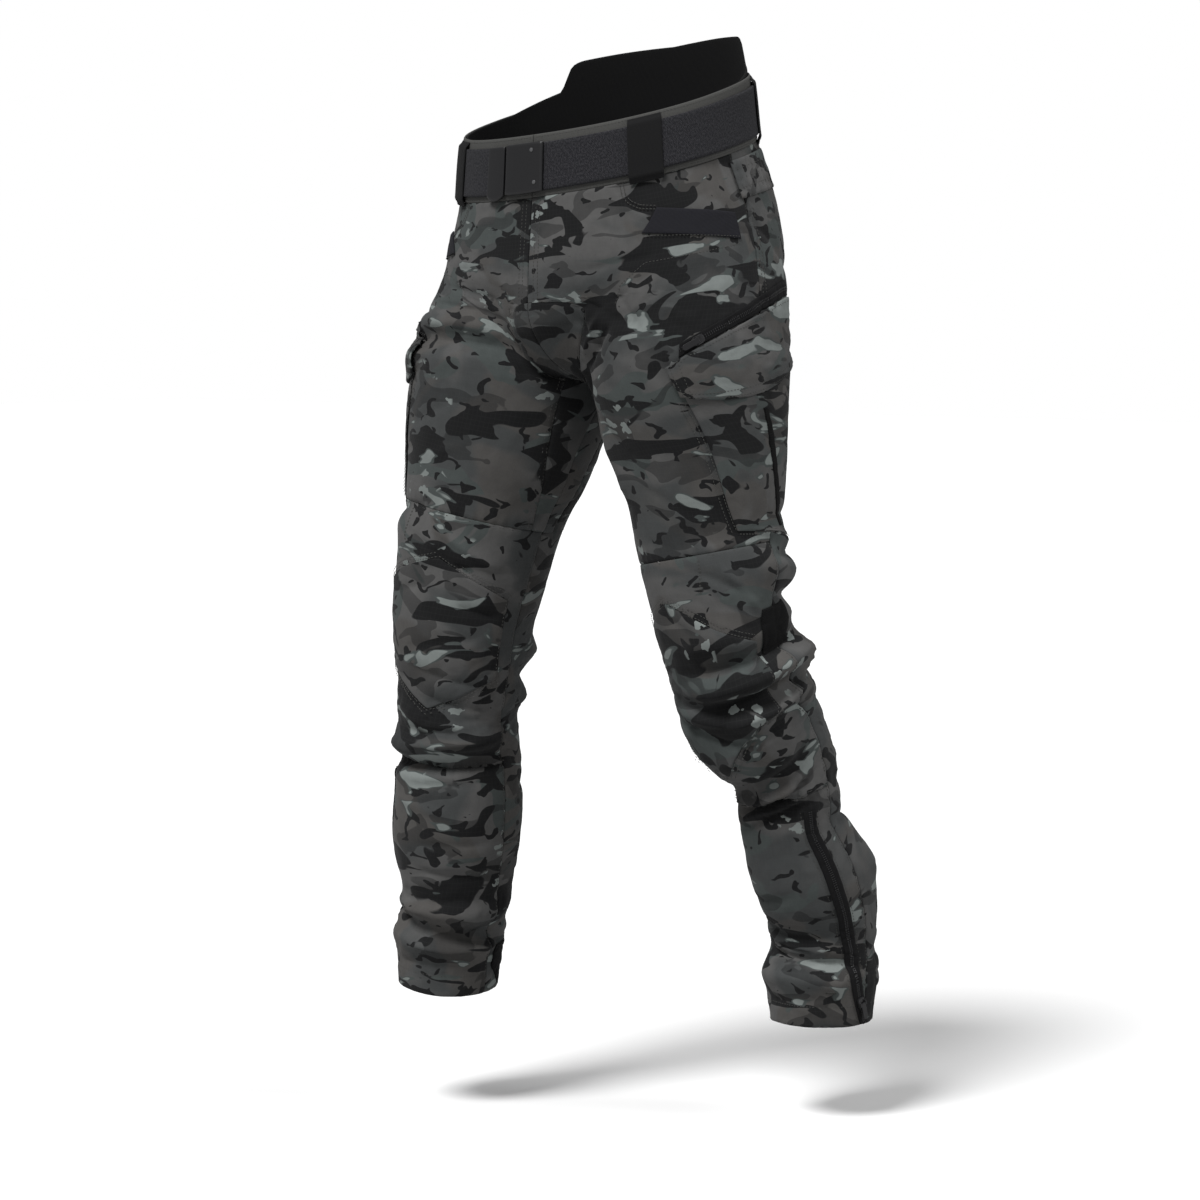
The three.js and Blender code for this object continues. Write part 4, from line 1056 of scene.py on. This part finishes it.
# The buckle: a catch plate and a release plate that dips below the belt.
def build_buckle():
    seat = BELT_LIFT + BELT_THICK + 0.4

    def plate(name, turn0, turn1, top, dip, thick):
        a = stops(0, 1, 0.05, 0.02)
        b = stops(0, 1, 0.05, 0.02)
        a, b = np.meshgrid(a, b)
        turn = turn0 + (turn1 - turn0) * a
        foot = BELT_BOTTOM + 1 + dip * np.sin(np.pi * a) ** 0.8
        s = top + (foot - top) * b
        thicks = thick * (1 - 0.12 * (2 * a - 1) ** 4)
        uvs = np.stack([a * 0.04, -s * MM], axis=-1)
        obj = shell(name, waist_cloth, turn, s, np.full_like(s, seat), thicks, uvs, BUCKLE_FINISH)
        soften(obj, 0.0006, 50)
        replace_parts(obj, name)
        return obj

    catch = plate("buckle_catch_plate", -0.031, 0.017, BELT_TOP - 1, 1, 3.6)
    plate("buckle_release_plate", -0.057, -0.033, BELT_TOP, 6, 3.4)
    rivets = []
    for turn, s in ((0.004, BELT_TOP + 7), (0.008, BELT_BOTTOM - 9)):
        at, out = over_waist(np.array([turn]), np.array([s]), np.array([seat + 3.6]))
        rivets.append(disc(at[0], out[0], 2.1, 0.9))
    joined = join("buckle_rivets", rivets)
    joined.parent = catch


# A low round rivet head.
def disc(at, out, radius, high):
    way = unit(np.cross(out, [0, 0, 1]))
    side = np.cross(out, way)
    count = 20
    points = []
    for share, level in ((1, -0.3), (1, 0.5), (0.86, 0.85), (0.5, 1)):
        for i in range(count):
            angle = 2 * np.pi * i / count
            radial = way * math.cos(angle) + side * math.sin(angle)
            points.append(at + radial * radius * share + out * high * level)
    faces = []
    for ring in range(3):
        for i in range(count):
            j = (i + 1) % count
            low = ring * count
            faces.append([low + i, low + j, low + count + j, low + count + i])
    faces.append([3 * count + i for i in range(count)])
    faces.append([count - 1 - i for i in range(count)])
    points = np.array(points)
    return write_mesh("rivet", points, faces, points[:, [0, 2]] * MM, METAL)


# The hip pocket, the shirred elastic, the cargo pocket, the knee and the ankle
def build_hip(leg):
    facing = lambda a, b: (0.172 + 0.327 * a, BAND_BOTTOM + 0.4 + 71 * b)
    leg_piece("hip_pocket_facing", leg, facing, 110, 71, lift=-WALL - 0.3 - THIN, thick=THIN)
    band = between(straight((0.264, 99), (0.448, 121)), straight((0.228, 124), (0.452, 148)))
    sewn_on("hip_pocket_band", leg, band, 90, 25, BAND, 2.2)

    def ripple(u, s):
        phase = np.pi * 9 * (u - 0.485) / 0.175
        return THIN + 1.5 * np.abs(np.sin(phase)) ** 0.8 * (0.6 + 0.4 * np.cos(s / 5) ** 2)

    gather = lambda a, b: (0.485 + 0.175 * a, 73 + 37 * b)
    leg_piece("side_gather", leg, gather, 100, 37, lift=SEAT, thick=ripple, step=1.8)
    for s in (82, 91, 100):
        sew(leg, (0.49, s), (0.655, s), height=SEAT + THIN + 0.7, pitch=3.2)
    sew(leg, (0.228, 126.5), (0.45, 145.5), height=SEAT + THIN)
    mouth = [(0.194, 66), (0.197, 80), (0.207, 90), (0.228, 98), (0.262, 102)]
    sew(leg, *mouth, offsets=(1.6, 5.2))
    sew(leg, (0.2, 200), (0.2, 180), (0.24, 158), (0.45, 152))


# The middle of the cargo zip, from 0 at its front end to 1 at its back end.
def zip_line(a):
    return 0.345 + 0.255 * a, 251 - 53 * (1 - np.clip(1 - a, 0, 2) ** 1.6)


def build_cargo(leg):
    half_tape = 7.0

    def tape(a, b):
        u, s = zip_line(a)
        return u, s - half_tape + 2 * half_tape * b

    sewn_on("cargo_zip", leg, tape, 150, 14, TAPE, 1.8)

    def flap(a, b):
        u0, s0 = zip_line(-0.08 + 1.08 * a)
        u1 = 0.342 + (0.6 - 0.342) * a
        s1 = 296 + 58 * a * (1 - a) - 23 * a * a
        return u0 * (1 - b) + u1 * b, (s0 + half_tape + 1) * (1 - b) + s1 * b

    def flap_lift(u, s):
        low = clip01((s - 235) / 55)
        return 1.9 + 2.2 * low * low * (3 - 2 * low) + 0.8 * np.sin(np.pi * low)

    leg_piece("cargo_flap", leg, flap, 150, 55, lift=flap_lift, thick=FLAP, step=2.4)
    bag = between(straight((0.34, 282), (0.6, 232)), straight((0.416, 435), (0.588, 453)))

    def bag_lift(u, s):
        swell = np.sin(clip01((s - 262) / 180) * np.pi)
        return SEAT + 2.4 * swell * clip01((u - 0.35) / 0.08)

    leg_piece("cargo_bag", leg, bag, 140, 200, lift=bag_lift, thick=THIN, step=3.0)
    bellows = between(straight((0.486, 320), (0.5, 320)), straight((0.544, 440), (0.56, 440)))

    def on_bag(u, s, gap=0.0):
        return bag_lift(u, s) + THIN + gap

    def on_flap(u, s):
        return flap_lift(u, s) + FLAP

    lift = partial(on_bag, gap=0.2)
    leg_piece("cargo_bellows", leg, bellows, 8, 125, lift, 0.9, STRETCH, 1.6)
    a = np.linspace(0.02, 0.98, 60)
    for b in (0.96, 0.86, 0.05):
        u, s = flap(a, np.full_like(a, b))
        stitch(leg, (u, s), height=on_flap)
    for a in (0.02, 0.07):
        u, s = flap(np.full(20, a), np.linspace(0.08, 0.94, 20))
        stitch(leg, (u, s), height=on_flap)
    sew(leg, (0.3467, 300), (0.416, 433), offsets=(-1.8, -7.0), height=on_bag)
    sew(leg, (0.42, 432.5), (0.585, 450.5), offsets=(0, -5), height=SEAT + THIN)
    zip_teeth(leg, "cargo", zip_line, 150, SEAT + THIN)


# The coil of a zip: two rows of small blocks along its middle.
def zip_teeth(leg, kind, line, length, height):
    count = int(length / 1.9)
    rows = []
    t = (np.arange(count) + 0.5) / count
    u, s = line(t)
    at, out = over(leg, u, s, np.full(count, height))
    u1, s1 = line(t + 0.004)
    ahead, _ = over(leg, u1, s1, np.full(count, height))
    way = unit(ahead - at)
    side = unit(np.cross(out, way))
    for off in (-1.05, 1.05):
        rows.append((at + side * off, way, side, out, 1.25))
    teeth = blocks(f"{kind}_zip_coil_{leg}", rows, TEETH, wide=2.0, high=0.75, sink=0.2)
    GOES_WITH.setdefault(f"{kind}_zip_{leg}", []).append(teeth)


def build_knee(leg):
    knee_top = LEGS[leg]["knee_top"]

    def slant(a):
        return np.abs(a - 0.45) / 0.55

    def pocket(a, b):
        upper = knee_top + 44 + 42 * slant(a)
        lower = knee_top + 190 - 42 * slant(a)
        return 0.045 + 0.38 * a, upper * (1 - b) + lower * b

    sewn_on("knee_pocket", leg, pocket, 170, 140)
    patch = between(
        straight((0.458, knee_top + 60), (0.56, knee_top + 57)),
        straight((0.44, knee_top + 102), (0.545, knee_top + 104)),
    )
    sewn_on("knee_patch", leg, patch, 45, 45, STRETCH, 2.0)
    height = SEAT + THIN
    a = np.linspace(0, 1, 50)
    for b, offsets in ((0.0, (1.6, 6.2)), (1.0, (-1.6, -6.0))):
        u, s = pocket(a, np.full_like(a, b))
        stitch(leg, (u, s), offsets=offsets, height=height)
    for end in (0.012, 0.988):
        u, s = pocket(np.full(30, end), np.linspace(0.03, 0.97, 30))
        stitch(leg, (u, s), height=height)
    sew(leg, (0.02, knee_top), (0.48, knee_top), offsets=(-2.2, -8.0))
    knee_bottom = LEGS[leg]["knee_bottom"]
    sew(leg, (0.02, knee_bottom), (0.48, knee_bottom), offsets=(2.2, 7.5))
    sew(leg, (0.32, knee_top + 4), (0.312, knee_top + 38), offsets=(0, 1.4))
    sew(leg, (0.432, knee_top + 144), (0.268, knee_top + 186), height=height)


# The middle of the ankle zip, from 0 at its top to 1 at the hem.
def ankle_line(leg):
    knee_bottom = LEGS[leg]["knee_bottom"]
    hem = LEGS[leg]["hem"]

    def line(b):
        u = 0.416 + 0.014 * b + 0.08 * np.clip(b, 0, 1.1) ** 5
        return u, knee_bottom + 16 + (hem - 17 - knee_bottom) * b

    return line


def build_ankle(leg):
    hem = LEGS[leg]["hem"]
    line = ankle_line(leg)

    def tape(a, b):
        u, s = line(b)
        return u - 0.021 + 0.042 * a, s

    sewn_on("ankle_zip", leg, tape, 15, 240, TAPE, 1.8)
    zip_teeth(leg, "ankle", line, 236, SEAT + THIN)
    # A small near-black piece sewn on at the back of the inseam, a little above the hem.
    tab = between(
        straight((0.915, hem - 58), (0.985, hem - 60)),
        straight((0.925, hem - 4), (0.985, hem - 28)),
    )
    sewn_on("hem_tab", leg, tab, 26, 45, STRETCH, 2.0)
    b = np.linspace(0.0, 0.99, 70)
    u, s = line(b)
    stitch(leg, (u - 0.0285, s))
    stitch(leg, (u + 0.0285, s))
    sew(leg, (0.005, hem - 22), (0.455, hem - 22), pitch=3.4)
    sew(leg, (0.53, hem - 22), (0.9, hem - 22), pitch=3.4)
    tack = {"offsets": (-0.9, 0, 0.9), "pitch": 1.4, "every": 0.9}
    sew(leg, (0.36, hem - 39), (0.39, hem - 39), count=12, **tack)


# Stitches beside the long seams and round the waistband.
def build_seams(leg):
    spec = LEGS[leg]
    hem = spec["hem"]
    s = np.linspace(spec["knee_top"] - 2, FORK_START + 6, 90)
    u = along(GUSSET, leg, np.clip(s, 110, 420))
    for edge, sign in ((u, 1), (1 - u, -1)):
        outward = sign * spec["side"]
        stitch(leg, (edge, s), offsets=(2.0 * outward, 7.0 * outward))
    sew(leg, (0.508, 120), (0.508, 226), offsets=(0, 5))
    sew(leg, (0.492, 456), (0.492, hem - 24))
    sew(leg, (0.008, spec["knee_top"] + 4), (0.008, hem - 24))
    for fork in (0.012, 0.988):
        sew(leg, (fork, BAND_BOTTOM + 2), (fork, FORK_START - 3), offsets=(0, 5))
    for band in (3.2, 63.5):
        sew(leg, (0.005, band), (0.995, band), count=240)


# A slider's frame: x along the zip, z out of the cloth.
def slider_frame(leg, line, at, step):
    height = SEAT + THIN + 0.5
    u, s = line(np.array([at, at + step]))
    base, _ = over(leg, u, s, np.full(2, height), fine=False)
    raised, _ = over(leg, u[:1], s[:1], np.full(1, height + 5), fine=False)
    origin = base[0]
    x = unit(base[1] - origin)
    out = unit(raised[0] - origin)
    y = unit(np.cross(out, x))
    return origin, x, y, np.cross(x, y)


# A pull tab's plain outline in that frame, and its underside and top.
PULL_OUTLINE = [(-0.6, -3.1), (16, -3.1), (19, -1.5), (19, 1.5), (16, 3.1), (-0.6, 3.1)]
PULL_LOW = 3.0
PULL_TOP = 4.4


# The frame moved onto the pull tab's own solid, by its nearest corners.
def settle_on_solid(node, basis):
    solid = bpy.data.objects[node]
    places = [solid.matrix_world @ vertex.co for vertex in solid.data.vertices]
    corners = np.array([tuple(place) for place in places]) / MM
    own = np.array([(x, y, z) for x, y in PULL_OUTLINE for z in (PULL_LOW, PULL_TOP)])
    origin = basis[0]
    axes = np.array(basis[1:])
    for _ in range(6):
        now = own @ axes + origin
        away = np.linalg.norm(now[:, None] - corners[None], axis=2)
        match = corners[np.argmin(away, axis=1)]
        own_middle = own.mean(0)
        match_middle = match.mean(0)
        left, _, right = np.linalg.svd((own - own_middle).T @ (match - match_middle))
        flip = np.diag([1, 1, np.sign(np.linalg.det(left @ right))])
        axes = left @ flip @ right
        origin = match_middle - own_middle @ axes
    return origin, axes[0], axes[1], axes[2]


# A slab with a flat outline, between two levels of a frame.
def prism_mesh(name, outline, z0, z1, basis, material, body):
    origin, x, y, z = basis
    count = len(outline)
    points = []
    for level in (z1, z0):
        for px, py in outline:
            points.append(origin + x * px + y * py + z * level)
    faces = [list(range(count)), [2 * count - 1 - i for i in range(count)]]
    for i in range(count):
        j = (i + 1) % count
        faces.append([j, i, i + count, j + count])
    points = np.array(points)
    obj = write_mesh(name, points, faces, points[:, [0, 2]] * MM, material, body, smooth=False)
    soften(obj, 0.00028)
    return obj


def build_slider(leg, kind, line, at, step):
    basis = settle_on_solid(f"{kind}_pull_{leg}", slider_frame(leg, line, at, step))
    body = [(-6, -3.6), (-3.4, -4.5), (3.4, -4.5), (6, -3.6)]
    body += [(-x, -y) for x, y in body]
    name = f"{kind}_slider_{leg}"
    base = prism_mesh(name, body, 0, 2.3, basis, SLIDER, "trousers")
    lugs = []
    for side in (-4.0, 4.0):
        lug = [(-2.6, side - 0.5), (2.6, side - 0.5), (2.6, side + 0.5), (-2.6, side + 0.5)]
        lugs.append(prism_mesh("lug", lug, 2.2, 4.6, basis, SLIDER, "trousers"))
    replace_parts(join(name, [base, *lugs]), name)
    half = PULL_OUTLINE[-1][1]
    tab = [(-0.6, -half), (16, -half), (17.6, -half + 0.5), (18.7, -half + 1.8), (19, 0)]
    tab += [(18.7, half - 1.8), (17.6, half - 0.5), (16, half), (-0.6, half)]
    node = f"{kind}_pull_{leg}"
    pull = prism_mesh(node, tab, PULL_LOW, PULL_TOP, basis, BUCKLE_FINISH, node)
    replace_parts(pull, node)


for leg in ("left", "right"):
    build_panels(leg)
    build_hip(leg)
    build_cargo(leg)
    build_knee(leg)
    build_ankle(leg)
    build_seams(leg)
    build_slider(leg, "cargo", zip_line, *CARGO_SLIDER)
    build_slider(leg, "ankle", ankle_line(leg), *ANKLE_SLIDER)
build_gusset()
build_waist()
build_buckle()
for leg in ("left", "right"):
    threads = blocks(f"stitching_{leg}", STITCHES[leg], THREAD)
    GOES_WITH.setdefault(f"front_thigh_{leg}", []).append(threads)

# A slanting piece fills little of its rectangle. Its area is given as this share at least.
LEAST_SHARE = 0.301

for name, obj in PIECES.items():
    across, down, area = CUTS[obj.name]
    if area is not None:
        area = max(area, LEAST_SHARE * across * down)

# Floor, light and camera
FLOOR_Z = -1.03
bpy.ops.mesh.primitive_plane_add(size=40, location=(0, 0, FLOOR_Z))
floor = bpy.context.object
floor.name = "floor"
finish = Nodes("floor", 0.7, shine=0.5)
seen = finish.new("ShaderNodeLightPath").outputs["Is Camera Ray"]
finish.colour(finish.mix(seen, (0.4, 0.4, 0.4), (0.97, 0.97, 0.97)))
floor.data.materials.append(finish.material)

bpy.context.scene.view_settings.view_transform = "Standard"

# The backdrop is white to the eye, and lights the cloth at AMBIENT of that.
AMBIENT = 0.3
world = bpy.data.worlds.new("studio")
bpy.context.scene.world = world
world.use_nodes = True
nodes = world.node_tree.nodes
links = world.node_tree.links
backdrop = nodes["Background"]
socket(backdrop, "Strength", 1.0)
ambient = nodes.new("ShaderNodeBackground")
for background in (backdrop, ambient):
    socket(background, "Color", (1, 1, 1, 1))
socket(ambient, "Strength", AMBIENT)
path = nodes.new("ShaderNodeLightPath")
either = nodes.new("ShaderNodeMixShader")
links.new(path.outputs["Is Camera Ray"], either.inputs[0])
links.new(ambient.outputs[0], either.inputs[1])
links.new(backdrop.outputs[0], either.inputs[2])
links.new(either.outputs[0], nodes["World Output"].inputs["Surface"])


# The way to a place round the object, turned from the front to its left and up, in degrees.
def toward(azimuth, elevation):
    a = math.radians(azimuth)
    e = math.radians(elevation)
    return Vector((math.sin(a) * math.cos(e), -math.cos(a) * math.cos(e), math.sin(e)))


def sun(name, azimuth, elevation, strength, soft):
    light = bpy.data.lights.new(name, "SUN")
    light.energy = strength
    light.angle = math.radians(soft)
    obj = bpy.data.objects.new(name, light)
    obj.rotation_euler = toward(azimuth, elevation).to_track_quat("Z", "Y").to_euler()
    bpy.context.scene.collection.objects.link(obj)


sun("key", azimuth=4, elevation=54, strength=3.1, soft=18)
sun("side", azimuth=108, elevation=38, strength=1.05, soft=24)

camera_data = bpy.data.cameras.new("camera")
camera = bpy.data.objects.new("camera", camera_data)
bpy.context.scene.collection.objects.link(camera)
camera_data.sensor_width = 36
camera_data.lens = 120.96
AZIMUTH = 38
VIEW = toward(AZIMUTH, 4.4)
RIGHT = toward(AZIMUTH + 90, 0)
AIM = Vector((0, 0, -0.475)) + RIGHT * -0.007
DISTANCE = 4.2
camera.location = AIM + VIEW * DISTANCE
camera.rotation_euler = VIEW.to_track_quat("Z", "Y").to_euler()
bpy.context.scene.camera = camera
